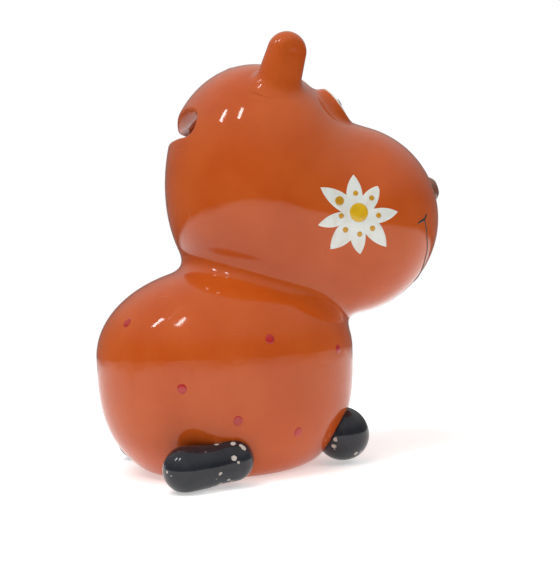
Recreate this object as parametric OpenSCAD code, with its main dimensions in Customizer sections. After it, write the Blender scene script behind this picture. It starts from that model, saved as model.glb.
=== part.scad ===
// Hippo money bank: a hollow glazed earthenware figure with a coin slot across the back of its head and a rubber
// stopper in its foot. The animal faces -Y and stands on z = 0; the origin is the middle of the footprint of the
// whole figure. Head and body are two thin shells joined along a tilted neck plane, and the small features are
// solid lumps of clay luted on to them.

/* [Overall] */
// Distance of the muzzle's centre ahead of the body's centre
head_reach = 43; // [38:0.5:52]
// Thickness of the clay wall
wall = 4; // [3:0.2:5]

/* [Body] */
// Width of the body at its widest ring
body_w = 73; // [66:1:84]
// Length of the body at its widest ring
body_l = 84.6; // [78:0.2:92]
// Height of the widest ring above the ground
body_z = 38; // [34:1:42]
// Rise of the shoulders above the widest ring
body_rise = 28.6; // [26:0.2:34]
// Fall of the belly below the widest ring, cut off by the ground
body_fall = 44.5; // [42:0.5:55]

/* [Head] */
// Width of the skull
skull_w = 68; // [62:1:76]
// Length of the skull
skull_l = 57.4; // [52:0.2:66]
// Height of the skull
skull_h = 68; // [62:1:76]
// Height of the skull's centre above the ground
skull_z = 98; // [94:1:102]
// Distance of the skull's centre behind the muzzle's centre
skull_back = 30.7; // [27:0.1:34]
// Width of the muzzle
muzzle_w = 70; // [62:1:80]
// Length of the muzzle
muzzle_l = 65.4; // [60:0.2:72]
// Height of the muzzle
muzzle_h = 65; // [60:1:72]
// Height of the muzzle's centre above the ground
muzzle_z = 80.4; // [77:0.2:84]
// Width of the jowls under the skull
jowl_w = 66; // [60:1:74]
// Length of the jowls
jowl_l = 61; // [56:1:68]
// Height of the jowls
jowl_h = 62; // [56:1:68]
// Height of the centre of the jowls above the ground
jowl_z = 82; // [79:1:86]

/* [Neck] */
// Height of the crease at the back of the neck
neck_back_z = 66; // [63:0.5:69]
// Height of the crease under the chin
neck_front_z = 48; // [46:0.5:51]
// Reach over which the head blends into the body
neck_blend = 7.5; // [4:0.5:12]

/* [Coin slot] */
// Length of the slot across the head
slot_l = 41; // [34:1:44]
// Distance of the slot's middle to the left of the centre plane
slot_shift = 6.5; // [0:0.5:8]
// Height of the slot at its narrowest
slot_gap = 5.6; // [5.2:0.2:7]
// Height of the slot's lower edge above the skull's centre
slot_rise = 8.2; // [6:0.2:11]
// Slope of the slot's lower face
slot_sill_slope = 6; // [0:1:12]
// Slope of the slot's upper face
slot_brow_slope = 56; // [50:1:65]

/* [Ears] */
// Width of an ear
ear_w = 15.6; // [13:0.2:18]
// Thickness of an ear
ear_t = 12; // [10:0.5:15]
// Height of an ear's tip above the top of the skull
ear_rise = 5.2; // [3:0.2:11]
// Distance of an ear's middle inside the side of the skull
ear_inset = 12.5; // [10:0.5:15]
// Lean of the ears outward
ear_splay = 14; // [8:1:18]
// Lean of the ears forward
ear_lean = 14; // [6:1:18]

/* [Eyes] */
// Diameter of an eye's flat face
eye_d = 13.2; // [12:0.2:16]
// Angle of an eye to the side, seen from the middle of the skull
eye_swing = 30; // [26:0.5:36]
// Angle of an eye above the middle of the skull
eye_rise = 35; // [32:0.5:42]
// Distance of the middle of the eye's face outside the skull
eye_out = 2.1; // [0:0.1:3]
// Angle by which the face looks up
eye_pitch = 35; // [28:1:42]
// Angle by which the face looks to the side
eye_yaw = 17; // [8:1:24]
// Diameter of the eyeball standing out of the face
eyeball_d = 7; // [5:0.5:9]

/* [Nostrils] */
// Diameter of a nostril bump
nostril_d = 10; // [7:0.5:11]
// Angle of a nostril to the side, seen from the middle of the muzzle
nostril_swing = 23; // [14:1:26]
// Angle of a nostril above the middle of the muzzle
nostril_rise = 16.5; // [14:0.5:24]

/* [Feet] */
// Length of a hind foot
hind_l = 28.4; // [24:0.2:31]
// Thickness of a hind foot
hind_t = 14.2; // [12:0.2:16]
// Distance of a hind foot's middle inside the body's side
hind_inset = 4.5; // [3:0.5:6]
// Diameter of a front foot
front_d = 18.4; // [16:0.2:20]
// Sideways distance of a front foot's middle from the centre plane
front_x = 15.2; // [14:0.2:18]

/* [Stopper] */
// Diameter of the hole in the foot
hole_d = 24; // [20:1:26]
// Width of the ledge around the hole
ledge = 3; // [2:0.5:5]
// Depth of the recess
recess_depth = 2.5; // [2:0.5:3]
// Length of the stopper above its rim
stopper_l = 12; // [9:1:15]

/* [Hidden] */
// radial running clearance between the stopper and its hole, and the gap around and below its rim
stopper_clearance = 0.05;
rim_gap = 0.5;
// wall and extra floor of the hollow stopper, and the bevel at the end of its shank
cup_wall = 2.2;
cup_floor = 1;
shank_bevel = 1;
// the recess around the hole, and the thickness of the clay there
recess_d = hole_d + 2 * ledge;
floor_t = wall + recess_depth;
// rounding of the body's outer edge at the ground, and how much of that rounding the ground cuts off
foot_round = 4;
foot_cut = 1;
// rounding where the inner wall meets the floor
floor_round = 6;
// blends between the lumps of the head
skull_blend = 12;
jowl_blend = 10;
// pitch of the muzzle, nose down
muzzle_pitch = 4;
// places that follow from the sizes above
length = muzzle_l / 2 + head_reach + body_l / 2;
body_y = length / 2 - body_l / 2;
muzzle_y = muzzle_l / 2 - length / 2;
skull_y = muzzle_y + skull_back;
jowl_y = skull_y - 3.4;
neck_back_y = skull_y + 0.79 * skull_l / 2;
neck_front_y = muzzle_y + 3.2;
neck_tilt = atan2(neck_back_z - neck_front_z, neck_back_y - neck_front_y);
neck_centre = [0, (neck_back_y + neck_front_y) / 2, (neck_back_z + neck_front_z) / 2];
body_centre = [0, body_y - 6, body_z];
head_centre = [0, (skull_y + muzzle_y) / 2, (skull_z + muzzle_z) / 2];
// grid of a shell: facets around the neck and rows from its pole to its rim
around = 56;
outer_rows = 28;
inner_rows = 16;
// halvings of the search for a surface point, and how far that search reaches
halvings = 14;
reach = 75;
// room left beyond a face so that a cut is clean
spare = 1;
// how deep the slot's lips turn in from the back of the head, and how much thicker the wall is around them
slot_lip = 7;
slot_swell = 4;
// places of the small features, following the lumps that they sit on
slot_z = skull_z + slot_rise;
ear_x = skull_w / 2 - ear_inset;
ear_tip_z = skull_z + skull_h / 2 + ear_rise;
ear_y = skull_y + 0.5;
ear_root_z = skull_z + 0.56 * skull_h / 2;
ear_reach = (ear_tip_z - ear_root_z) / cos(ear_lean) / cos(ear_splay);
dish_r = 10;
dish_depth = 1.2;
eye_stub = 11;
eyeball_out = 1.6;
nostril_sink = 2.5;
hind_x = body_w / 2 - hind_inset;
hind_y = body_y + 0.4 * body_l / 2;
front_y = body_y - 0.8 * body_l / 2;
// how far the ground cuts into the hind feet, and how far the front ones clear it
hind_sink = 0.3;
front_lift = 0.3;
$fn = 40;

// ---------------------------------------------------------------- the smooth figure as a field

// Roughly the distance from p to an ellipsoid with centre c and half sizes r: negative inside it.
function ellipsoid(p, c, r) =
    let (
        q = [(p.x - c.x) / r.x, (p.y - c.y) / r.y, (p.z - c.z) / r.z],
        g = norm([q.x / r.x, q.y / r.y, q.z / r.z]),
        k = norm(q)
    )
    g < 1e-6 ? -min(r) : k * (k - 1) / g;

// The lower of two values, rounded off over the reach k.
function soft_min(a, b, k) =
    let (h = max(k - abs(a - b), 0))
    min(a, b) - h * h / (4 * k);

// The higher of two values, rounded off over the reach k.
function soft_max(a, b, k) = -soft_min(-a, -b, k);

// p turned about the X axis through c, so that a lump can be pitched.
function pitched(p, c, a) =
    let (d = p - c)
    c + [d.x, cos(a) * d.y + sin(a) * d.z, cos(a) * d.z - sin(a) * d.y];

// The belly: like an ellipsoid across, but with a boxier curve downward (its height term is a cube).
function belly(p) =
    let (
        x = 2 * p.x / body_w,
        y = 2 * (p.y - body_y) / body_l,
        z = abs(p.z - body_z) / body_fall,
        k = sqrt(x * x + y * y + z * z * z),
        g = norm([2 * x / body_w, 2 * y / body_l, 1.5 * z * z / body_fall])
    )
    g < 1e-6 ? -body_w / 2 : k * (k - 1) / g;

// Shoulders above the widest ring, belly below it, and a rounded edge where the ground cuts it off.
function body_lump(p) =
    let (lump = p.z > body_z ? ellipsoid(p, [0, body_y, body_z], [body_w / 2, body_l / 2, body_rise]) : belly(p))
    soft_max(lump, -p.z - foot_cut, foot_round);

function skull_lump(p) = ellipsoid(p, [0, skull_y, skull_z], [skull_w, skull_l, skull_h] / 2);

function muzzle_lump(p) =
    let (c = [0, muzzle_y, muzzle_z])
    ellipsoid(pitched(p, c, -muzzle_pitch), c, [muzzle_w, muzzle_l, muzzle_h] / 2);

function jowl_lump(p) = ellipsoid(p, [0, jowl_y, jowl_z], [jowl_w, jowl_l, jowl_h] / 2);

function head_lump(p) = soft_min(soft_min(skull_lump(p), muzzle_lump(p), skull_blend), jowl_lump(p), jowl_blend);

// Head and body together: the outside of the figure without its small features.
function figure(p) = soft_min(head_lump(p), body_lump(p), neck_blend);

// Extra thickness of the wall behind the coin slot, fading out around it.
function slot_thickening(p) =
    let (away = norm([(p.x - slot_shift) / (0.7 * slot_l), (p.z - slot_z - slot_gap / 2) / (2.5 * slot_gap)]))
    p.y < skull_y ? 0 : slot_swell * max(0, 1 - away * away);

// The cavity: the figure shrunk by the wall, with a rounded floor.
function cavity(p) = soft_max(figure(p) + wall + slot_thickening(p), floor_t - p.z, floor_round);

// ---------------------------------------------------------------- shells found on that field

// Distance along the ray from c in direction d at which the field changes sign: kind 0 is the outside, 1 the cavity.
function depth_along(c, d, kind, near = 0, far = reach, left = halvings) =
    let (mid = (near + far) / 2, p = c + mid * d, v = kind == 0 ? figure(p) : cavity(p))
    left == 0 ? mid : v < 0 ? depth_along(c, d, kind, mid, far, left - 1) : depth_along(c, d, kind, near, mid, left - 1);

// Unit vector across the neck plane, and one that lies in it at angle t about its middle.
function neck_up() = [0, -sin(neck_tilt), cos(neck_tilt)];
function neck_out(t) = [sin(t), cos(t) * cos(neck_tilt), cos(t) * sin(neck_tilt)];

// Point of the rim at angle t: where the surface crosses the neck plane.
function rim_point(t, kind) = neck_centre + depth_along(neck_centre, neck_out(t), kind) * neck_out(t);

// Row i of a shell with n rows, from the pole (0) to the rim (n), seen from the centre c. side is 1 for the head,
// which lies above the neck plane, and -1 for the body.
function shell_row(c, side, kind, i, n) = [
    for (j = [0 : around - 1])
        let (
            t = 360 * j / around,
            rim = rim_point(t, kind) - c,
            pole = side * neck_up(),
            angle = acos(rim * pole / norm(rim)) * i / n,
            flat = rim - (rim * pole) * pole,
            d = cos(angle) * pole + sin(angle) * flat / norm(flat)
        )
        i == n ? c + rim : c + depth_along(c, d, kind) * d
];

function pole_point(c, side, kind) = c + side * depth_along(c, side * neck_up(), kind) * neck_up();

// Faces of a band between two rings of points that start at a and b, and of a fan from the point p to the ring at a.
// The diagonals of the band run the other way on the other half, so that left and right are alike.
function band(a, b, turn) = [
    for (j = [0 : around - 1])
        let (
            k = (j + 1) % around,
            quad = turn > 0 ? [a + j, b + j, b + k, a + k] : [a + k, b + k, b + j, a + j]
        )
        each (2 * j < around) == (turn > 0)
            ? [[quad[0], quad[1], quad[2]], [quad[0], quad[2], quad[3]]]
            : [[quad[0], quad[1], quad[3]], [quad[1], quad[2], quad[3]]]
];
function fan(p, a, turn) = [
    for (j = [0 : around - 1])
        let (k = (j + 1) % around)
        turn > 0 ? [p, a + j, a + k] : [p, a + k, a + j]
];

function ring_starts(first, rows) = [for (i = [0 : rows - 1]) first + i * around];

// A thin shell open at the neck: pole, outer rows, rim, inner rows, inner pole.
module open_shell(c, side) {
    points = concat(
        [pole_point(c, side, 0)],
        [for (i = [1 : outer_rows]) each shell_row(c, side, 0, i, outer_rows)],
        [for (i = [inner_rows : -1 : 1]) each shell_row(c, side, 1, i, inner_rows)],
        [pole_point(c, side, 1)]
    );
    rings = ring_starts(1, outer_rows + inner_rows);
    last = len(points) - 1;
    faces = concat(
        fan(0, rings[0], side),
        [for (i = [0 : len(rings) - 2]) each band(rings[i], rings[i + 1], side)],
        fan(last, rings[len(rings) - 1], -side)
    );
    polyhedron(points, faces, convexity = 4);
}

// The same lump filled in and closed by a flat cap at the neck.
module solid_lump(c, side) {
    points = concat(
        [pole_point(c, side, 0)],
        [for (i = [1 : outer_rows]) each shell_row(c, side, 0, i, outer_rows)],
        [neck_centre]
    );
    rings = ring_starts(1, outer_rows);
    last = len(points) - 1;
    faces = concat(
        fan(0, rings[0], side),
        [for (i = [0 : len(rings) - 2]) each band(rings[i], rings[i + 1], side)],
        fan(last, rings[len(rings) - 1], -side)
    );
    polyhedron(points, faces, convexity = 4);
}

// Pieces in pairs are drawn for the animal's right, which is -X, and mirrored for its left.
module on_side(side) {
    if (side > 0)
        mirror([1, 0, 0]) children();
    else
        children();
}

// Keeps what it is given as one mesh, so that a lump meets the curved shell under it facet for facet.
module as_mesh() { resize([0, 0, 0]) children(); }

// ---------------------------------------------------------------- the coin slot

// Outer face of the head's back at height z.
function back_of_head(z) = skull_y + depth_along([0, skull_y, z], [0, 1, 0], 0);

// A flared notch: level and narrow inside, opening outward between the sill and the brow.
module slot_cutter() {
    inner_y = back_of_head(slot_z) - slot_lip;
    inside = 20;
    outside = 20;
    translate([slot_shift, 0, 0])
        rotate([90, 0, 90])
            linear_extrude(slot_l, center = true)
                polygon([
                    [inner_y - inside, slot_z],
                    [inner_y - inside, slot_z + slot_gap],
                    [inner_y, slot_z + slot_gap],
                    [inner_y + outside, slot_z + slot_gap + outside * tan(slot_brow_slope)],
                    [inner_y + outside, slot_z + outside * tan(slot_sill_slope)],
                    [inner_y, slot_z]
                ]);
}

// ---------------------------------------------------------------- pieces

module body_shell() {
    color("#c5602a")
        difference() {
            open_shell(body_centre, -1);
            below_ground();
            translate([0, body_y, -spare])
                cylinder(h = floor_t + 2 * floor_round, d = hole_d);
            translate([0, body_y, -spare])
                cylinder(h = spare + recess_depth, d = recess_d);
        }
}

module head_shell() {
    color("#c5602a")
        difference() {
            open_shell(head_centre, 1);
            slot_cutter();
        }
}

// A thumb of clay leaning out and forward, dished near its tip on the outer side.
module ear(side) {
    tip_w = 0.82 * ear_w;
    tip = [0, 0, ear_reach - tip_w / 2];
    color("#b8521f")
        on_side(side)
            as_mesh()
                difference() {
                    translate([-ear_x, ear_y, ear_root_z])
                        rotate([ear_lean, -ear_splay, 0])
                            difference() {
                                hull() {
                                    scale([ear_t, ear_w, ear_w] / ear_w)
                                        sphere(d = ear_w);
                                    translate(tip)
                                        scale([0.9 * ear_t, tip_w, tip_w] / tip_w)
                                            sphere(d = tip_w);
                                }
                                translate(tip + [dish_depth - 0.9 * ear_t / 2 - dish_r, -ear_w / 8, 0])
                                    sphere(dish_r);
                            }
                    solid_lump(head_centre, 1);
                }
}

// Unit vector that swings from straight ahead to the animal's right and rises above the level.
function heading(swing, rise) = [-sin(swing) * cos(rise), -cos(swing) * cos(rise), sin(rise)];

// Where the outside is met from the point c in the direction d.
function surface_point(c, d) = c + depth_along(c, d, 0) * d;

// A stub of clay with a flat round face that looks forward and up, and an eyeball standing out of it.
module eye(side) {
    away = heading(eye_swing, eye_rise);
    face = surface_point([0, skull_y, skull_z], away) + eye_out * away;
    color("#e9e6dc")
        on_side(side)
            as_mesh()
                difference() {
                    translate(face)
                        rotate([90 - eye_pitch, 0, -eye_yaw]) {
                            translate([0, 0, -eye_stub])
                                cylinder(h = eye_stub, d1 = 1.2 * eye_d, d2 = eye_d);
                            translate([0, 0, eyeball_out - eyeball_d / 2])
                                sphere(d = eyeball_d);
                        }
                    solid_lump(head_centre, 1);
                }
}

// A small bump of clay on the front of the muzzle.
module nostril(side) {
    away = heading(nostril_swing, nostril_rise);
    color("#6b4a3c")
        on_side(side)
            as_mesh()
                difference() {
                    translate(surface_point([0, muzzle_y, muzzle_z], away) - nostril_sink * away)
                        sphere(d = nostril_d);
                    solid_lump(head_centre, 1);
                }
}

module below_ground() {
    translate([-length, -length, -2 * length])
        cube(2 * length);
}

// A bean-shaped foot along the side of the body.
module foot_hind(side) {
    color("#25272d")
        on_side(side)
            as_mesh()
                difference() {
                    hull()
                        for (end = [-1, 1])
                            translate([-hind_x, hind_y + end * (hind_l - hind_t) / 2, hind_t / 2 - hind_sink])
                                sphere(d = hind_t);
                    solid_lump(body_centre, -1);
                    below_ground();
                }
}

// A round paw at the front of the body.
module foot_front(side) {
    color("#25272d")
        on_side(side)
            as_mesh()
                difference() {
                    translate([-front_x, front_y, front_d / 2 + front_lift])
                        sphere(d = front_d);
                    solid_lump(body_centre, -1);
                }
}

// A soft rubber cup: a rim that sits in the recess and a hollow shank in the hole.
module stopper() {
    shank_r = hole_d / 2 - stopper_clearance;
    rim_r = recess_d / 2 - rim_gap;
    rim_t = recess_depth - rim_gap;
    top = stopper_l + shank_bevel;
    floor_top = rim_t + cup_floor;
    color("#2e2e30")
        translate([0, body_y, rim_gap])
            rotate_extrude()
                polygon([
                    [0, 0],
                    [rim_r, 0],
                    [rim_r, rim_t],
                    [shank_r, rim_t],
                    [shank_r, stopper_l],
                    [shank_r - shank_bevel, top],
                    [shank_r - cup_wall, top],
                    [shank_r - cup_wall, floor_top],
                    [0, floor_top]
                ]);
}

body_shell();
head_shell();
ear(-1);  // ear_right
ear(1);  // ear_left
eye(-1);  // eye_right
eye(1);  // eye_left
nostril(-1);  // nostril_right
nostril(1);  // nostril_left
foot_front(-1);  // foot_front_right
foot_front(1);  // foot_front_left
foot_hind(-1);  // foot_hind_right
foot_hind(1);  // foot_hind_left
stopper();
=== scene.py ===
from types import SimpleNamespace

import bpy
import numpy as np
from bpy.props import FloatProperty, FloatVectorProperty, IntProperty, PointerProperty
from bpy.types import Operator, Panel, PropertyGroup
from mathutils import Matrix, Vector


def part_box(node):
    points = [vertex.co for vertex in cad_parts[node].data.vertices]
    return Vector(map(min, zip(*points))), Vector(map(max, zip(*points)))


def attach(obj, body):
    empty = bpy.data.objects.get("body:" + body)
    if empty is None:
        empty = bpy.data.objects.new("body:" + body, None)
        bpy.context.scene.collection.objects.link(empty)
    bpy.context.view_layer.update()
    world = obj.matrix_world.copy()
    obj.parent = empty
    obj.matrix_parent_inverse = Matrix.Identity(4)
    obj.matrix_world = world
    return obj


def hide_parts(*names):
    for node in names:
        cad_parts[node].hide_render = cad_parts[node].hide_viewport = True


bl_info = {
    "name": "Hippo money bank",
    "version": (1, 0, 0),
    "blender": (4, 5, 0),
    "location": "View3D > Sidebar > Hippo bank",
    "description": "Builds a glazed earthenware hippo money bank around its CAD frame",
    "category": "Add Mesh",
}

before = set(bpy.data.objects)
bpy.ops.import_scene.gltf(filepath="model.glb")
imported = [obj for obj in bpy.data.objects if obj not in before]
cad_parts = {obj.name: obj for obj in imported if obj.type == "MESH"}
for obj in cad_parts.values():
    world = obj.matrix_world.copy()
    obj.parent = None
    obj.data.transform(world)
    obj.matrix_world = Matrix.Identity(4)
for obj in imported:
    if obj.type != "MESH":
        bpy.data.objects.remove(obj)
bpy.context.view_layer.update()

BANK = "bank"
MM = 0.001
UP = np.array([0.0, 0.0, 1.0])


# ---------------------------------------------------------------- settings

def size_in_mm(name, text, value):
    """A length property whose default is given in millimetres."""
    return FloatProperty(name=name, description=text, default=value * MM, min=0.0, unit="LENGTH", precision=5)


def tint(name, text, value):
    """A colour property in linear light."""
    return FloatVectorProperty(name=name, description=text, default=value, size=3, min=0.0, max=1.0, subtype="COLOR")


def angle(name, text, degrees):
    """An angle property whose default is given in degrees."""
    return FloatProperty(name=name, description=text, default=float(np.radians(degrees)), subtype="ANGLE")


class HippoClaySizes(PropertyGroup):
    """Sizes of the clay figure under the glaze."""
    head_reach: size_in_mm("Head reach", "Distance of the muzzle's centre ahead of the body's centre", 43)
    wall: size_in_mm("Wall", "Thickness of the clay wall", 4)
    body_w: size_in_mm("Body width", "Width of the body at its widest ring", 73)
    body_l: size_in_mm("Body length", "Length of the body at its widest ring", 84.6)
    body_z: size_in_mm("Body height", "Height of the widest ring above the ground", 38)
    body_rise: size_in_mm("Shoulders", "Rise of the shoulders above the widest ring", 28.6)
    body_fall: size_in_mm("Belly", "Fall of the belly below the widest ring", 44.5)
    skull_w: size_in_mm("Skull width", "Width of the skull", 68)
    skull_l: size_in_mm("Skull length", "Length of the skull", 57.4)
    skull_h: size_in_mm("Skull height", "Height of the skull", 68)
    skull_z: size_in_mm("Skull centre", "Height of the skull's centre above the ground", 98)
    skull_back: size_in_mm("Skull offset", "Distance of the skull's centre behind the muzzle's centre", 30.7)
    muzzle_w: size_in_mm("Muzzle width", "Width of the muzzle", 70)
    muzzle_l: size_in_mm("Muzzle length", "Length of the muzzle", 65.4)
    muzzle_h: size_in_mm("Muzzle height", "Height of the muzzle", 65)
    muzzle_z: size_in_mm("Muzzle centre", "Height of the muzzle's centre above the ground", 80.4)
    jowl_w: size_in_mm("Jowl width", "Width of the jowls", 66)
    jowl_l: size_in_mm("Jowl length", "Length of the jowls", 61)
    jowl_h: size_in_mm("Jowl height", "Height of the jowls", 62)
    jowl_z: size_in_mm("Jowl centre", "Height of the centre of the jowls above the ground", 82)
    neck_back_z: size_in_mm("Nape", "Height of the crease at the back of the neck", 66)
    neck_front_z: size_in_mm("Throat", "Height of the crease under the chin", 48)
    neck_blend: size_in_mm("Neck blend", "Reach over which the head blends into the body", 7.5)
    slot_l: size_in_mm("Slot length", "Length of the coin slot", 41)
    slot_shift: size_in_mm("Slot shift", "Distance of the slot's middle to the animal's left", 6.5)
    slot_gap: size_in_mm("Slot height", "Height of the coin slot at its narrowest", 5.6)
    slot_rise: size_in_mm("Slot rise", "Height of the slot's lower edge above the skull's centre", 8.2)
    hole_d: size_in_mm("Foot hole", "Diameter of the stopper's hole", 24)
    ledge: size_in_mm("Ledge", "Width of the ledge around the hole", 3)
    recess_depth: size_in_mm("Recess", "Depth of the recess around the hole", 2.5)


class HippoFeatureSizes(PropertyGroup):
    """Sizes of the ears, eyes, nostrils and feet."""
    ear_w: size_in_mm("Ear width", "Width of an ear", 15.6)
    ear_t: size_in_mm("Ear thickness", "Thickness of an ear", 12)
    ear_rise: size_in_mm("Ear rise", "Height of an ear's tip above the top of the skull", 5.2)
    ear_inset: size_in_mm("Ear inset", "Distance of an ear's middle inside the side of the skull", 12.5)
    ear_splay: angle("Ear splay", "Lean of the ears outward", 14)
    ear_lean: angle("Ear lean", "Lean of the ears forward", 14)
    eye_d: size_in_mm("Eye diameter", "Diameter of an eye's flat face", 13.2)
    eye_out: size_in_mm("Eye stand", "Distance of the eye's face outside the skull", 2.1)
    eye_swing: angle("Eye swing", "Angle of an eye to the side, seen from the middle of the skull", 30)
    eye_rise: angle("Eye rise", "Angle of an eye above the middle of the skull", 35)
    eye_pitch: angle("Eye pitch", "Angle by which the face looks up", 35)
    eye_yaw: angle("Eye yaw", "Angle by which the face looks to the side", 17)
    eyeball_d: size_in_mm("Eyeball", "Diameter of the eyeball standing out of the face", 7)
    nostril_d: size_in_mm("Nostril", "Diameter of a nostril bump", 10)
    nostril_swing: angle("Nostril swing", "Angle of a nostril to the side", 23)
    nostril_rise: angle("Nostril rise", "Angle of a nostril above the middle of the muzzle", 16.5)
    relief: size_in_mm("Enamel relief", "Thickness of the painted enamel marks", 0.22)
    grid: IntProperty(name="Grid", description="Columns around the neck in the large shells", default=240, min=96,
                      max=280)


class HippoGlazeColours(PropertyGroup):
    """Colours of the glaze and the enamels."""
    orange: tint("Orange glaze", "Main colour of the glaze", (0.45, 0.068, 0.006))
    orange_thin: tint("Thin glaze", "Colour where the glaze is thin over the clay", (0.50, 0.090, 0.012))
    orange_deep: tint("Deep glaze", "Colour where the glaze has pooled", (0.36, 0.048, 0.006))
    petal: tint("Petal enamel", "Colour of the petals", (0.66, 0.69, 0.65))
    yellow: tint("Yellow enamel", "Colour of the flower's middle", (0.60, 0.36, 0.004))
    ochre: tint("Ochre enamel", "Colour of the small dots on the petals", (0.50, 0.25, 0.008))
    red: tint("Red enamel", "Colour of the dots on the body", (0.36, 0.012, 0.012))
    black: tint("Black glaze", "Colour of the feet", (0.010, 0.011, 0.015))
    brown: tint("Brown glaze", "Colour of the nostrils", (0.12, 0.055, 0.035))
    cream: tint("Eye enamel", "Colour of the eyes", (0.72, 0.70, 0.62))
    clay: tint("Bare clay", "Colour of the unglazed clay", (0.52, 0.36, 0.25))
    rubber: tint("Rubber", "Colour of the stopper", (0.028, 0.028, 0.030))


class HippoStudio(PropertyGroup):
    """The stage: camera, lights and floor."""
    distance: size_in_mm("Camera distance", "Distance of the camera from the figure's middle", 326)
    aim_height: size_in_mm("Aim height", "Height of the camera above the ground", 60.2)
    aim_y: FloatProperty(name="Aim offset", description="Offset of the camera's axis along the figure",
                         default=-2.55 * MM, unit="LENGTH", precision=5)
    azimuth: angle("Azimuth", "Turn of the camera around the figure", -111)
    roll: angle("Roll", "Tilt of the camera about its own axis", -2.3)
    lens: FloatProperty(name="Lens", description="Focal length in millimetres on a sensor 36 mm wide", default=62.357)
    shift_x: FloatProperty(name="Shift", description="Sideways shift of the lens", default=0.0027)
    floor_size: FloatProperty(name="Floor", description="Width of the floor", default=1.3, unit="LENGTH")


# ---------------------------------------------------------------- the figure as a field

def lump_value(points, centre, radii):
    """Roughly the distance to an ellipsoid: k (k - 1) / g, with k the length of the point in units of the radii and g
    the length of its gradient."""
    q = (points - centre) / radii
    k = np.sqrt((q * q).sum(-1))
    g = np.sqrt(((q / radii) ** 2).sum(-1)) + 1e-12
    return k * (k - 1) / g


def soft_min(a, b, reach):
    """The lower of two values, rounded off by h squared over four times the reach."""
    h = np.maximum(reach - np.abs(a - b), 0)
    return np.minimum(a, b) - h * h / (4 * reach)


def soft_max(a, b, reach):
    """The higher of two values, rounded off in the same way."""
    return -soft_min(-a, -b, reach)


def soft_step(value):
    """Smooth step from 0 to 1: three times the square less twice the cube."""
    t = np.clip(value, 0, 1)
    return t * t * (3 - 2 * t)


def turned(points, centre, pitch):
    """Points turned about the X axis through the centre."""
    d = points - centre
    c, s = np.cos(pitch), np.sin(pitch)
    return centre + np.stack([d[..., 0], c * d[..., 1] + s * d[..., 2], c * d[..., 2] - s * d[..., 1]], -1)


def heading(swing, rise):
    """Unit vector that swings from straight ahead to the animal's right and rises above the level."""
    return np.array([-np.sin(swing) * np.cos(rise), -np.cos(swing) * np.cos(rise), np.sin(rise)])


def unit(vectors):
    """Vectors divided by their lengths."""
    return vectors / (np.linalg.norm(vectors, axis=-1, keepdims=True) + 1e-15)


def derive(sizes):
    """Centres, radii and planes of the clay figure, from its sizes."""
    f = SimpleNamespace(sizes=sizes)
    length = sizes.muzzle_l / 2 + sizes.head_reach + sizes.body_l / 2
    f.body_y = length / 2 - sizes.body_l / 2
    f.muzzle_y = sizes.muzzle_l / 2 - length / 2
    f.skull_y = f.muzzle_y + sizes.skull_back
    f.jowl_y = f.skull_y - 3.4 * MM
    f.skull = np.array([0, f.skull_y, sizes.skull_z])
    f.muzzle = np.array([0, f.muzzle_y, sizes.muzzle_z])
    f.jowl = np.array([0, f.jowl_y, sizes.jowl_z])
    f.skull_r = np.array([sizes.skull_w, sizes.skull_l, sizes.skull_h]) / 2
    f.muzzle_r = np.array([sizes.muzzle_w, sizes.muzzle_l, sizes.muzzle_h]) / 2
    f.jowl_r = np.array([sizes.jowl_w, sizes.jowl_l, sizes.jowl_h]) / 2
    back = np.array([0, f.skull_y + 0.79 * sizes.skull_l / 2, sizes.neck_back_z])
    front = np.array([0, f.muzzle_y + 3.2 * MM, sizes.neck_front_z])
    f.neck = (back + front) / 2
    along = unit(back - front)
    f.neck_along = along
    f.neck_up = np.array([0, -along[2], along[1]])
    f.head_centre = (f.skull + f.muzzle) / 2
    f.body_centre = np.array([0, f.body_y, sizes.body_z])
    f.floor_t = sizes.wall + sizes.recess_depth
    f.slot_z = sizes.skull_z + sizes.slot_rise
    f.hole_r = sizes.hole_d / 2
    f.recess_r = f.hole_r + sizes.ledge
    f.foot_round = 4 * MM
    f.foot_cut = 1 * MM
    f.slot_lip = 7 * MM
    f.slot_swell = 4 * MM
    f.lip_round = 0.8 * MM
    at_slot = np.array([0, f.skull_y, f.slot_z])
    f.inner_y = f.skull_y + float(reach_along(lambda p: figure(f, p), at_slot, np.array([0, 1.0, 0]))) - f.slot_lip
    return f


def body_lump(f, points):
    """Shoulders as half an ellipsoid above the widest ring; below it the height counts as a cube, which makes the belly
    boxier; the ground rounds it off."""
    s = f.sizes
    x = 2 * points[..., 0] / s.body_w
    y = 2 * (points[..., 1] - f.body_y) / s.body_l
    z = np.abs(points[..., 2] - s.body_z) / s.body_fall
    k = np.sqrt(x * x + y * y + z ** 3)
    g = np.sqrt((2 * x / s.body_w) ** 2 + (2 * y / s.body_l) ** 2 + (1.5 * z * z / s.body_fall) ** 2) + 1e-12
    shoulders = lump_value(points, f.body_centre, np.array([s.body_w / 2, s.body_l / 2, s.body_rise]))
    lump = np.where(points[..., 2] > s.body_z, shoulders, k * (k - 1) / g)
    return soft_max(lump, -points[..., 2] - f.foot_cut, f.foot_round)


def head_lump(f, points):
    """Skull, pitched muzzle and jowls, blended."""
    muzzle_pitch, skull_blend, jowl_blend = np.radians(-4), 12 * MM, 10 * MM
    skull = lump_value(points, f.skull, f.skull_r)
    muzzle = lump_value(turned(points, f.muzzle, muzzle_pitch), f.muzzle, f.muzzle_r)
    jowl = lump_value(points, f.jowl, f.jowl_r)
    return soft_min(soft_min(skull, muzzle, skull_blend), jowl, jowl_blend)


def figure(f, points):
    """Head and body together: the outside without the small features."""
    return soft_min(head_lump(f, points), body_lump(f, points), f.sizes.neck_blend)


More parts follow.
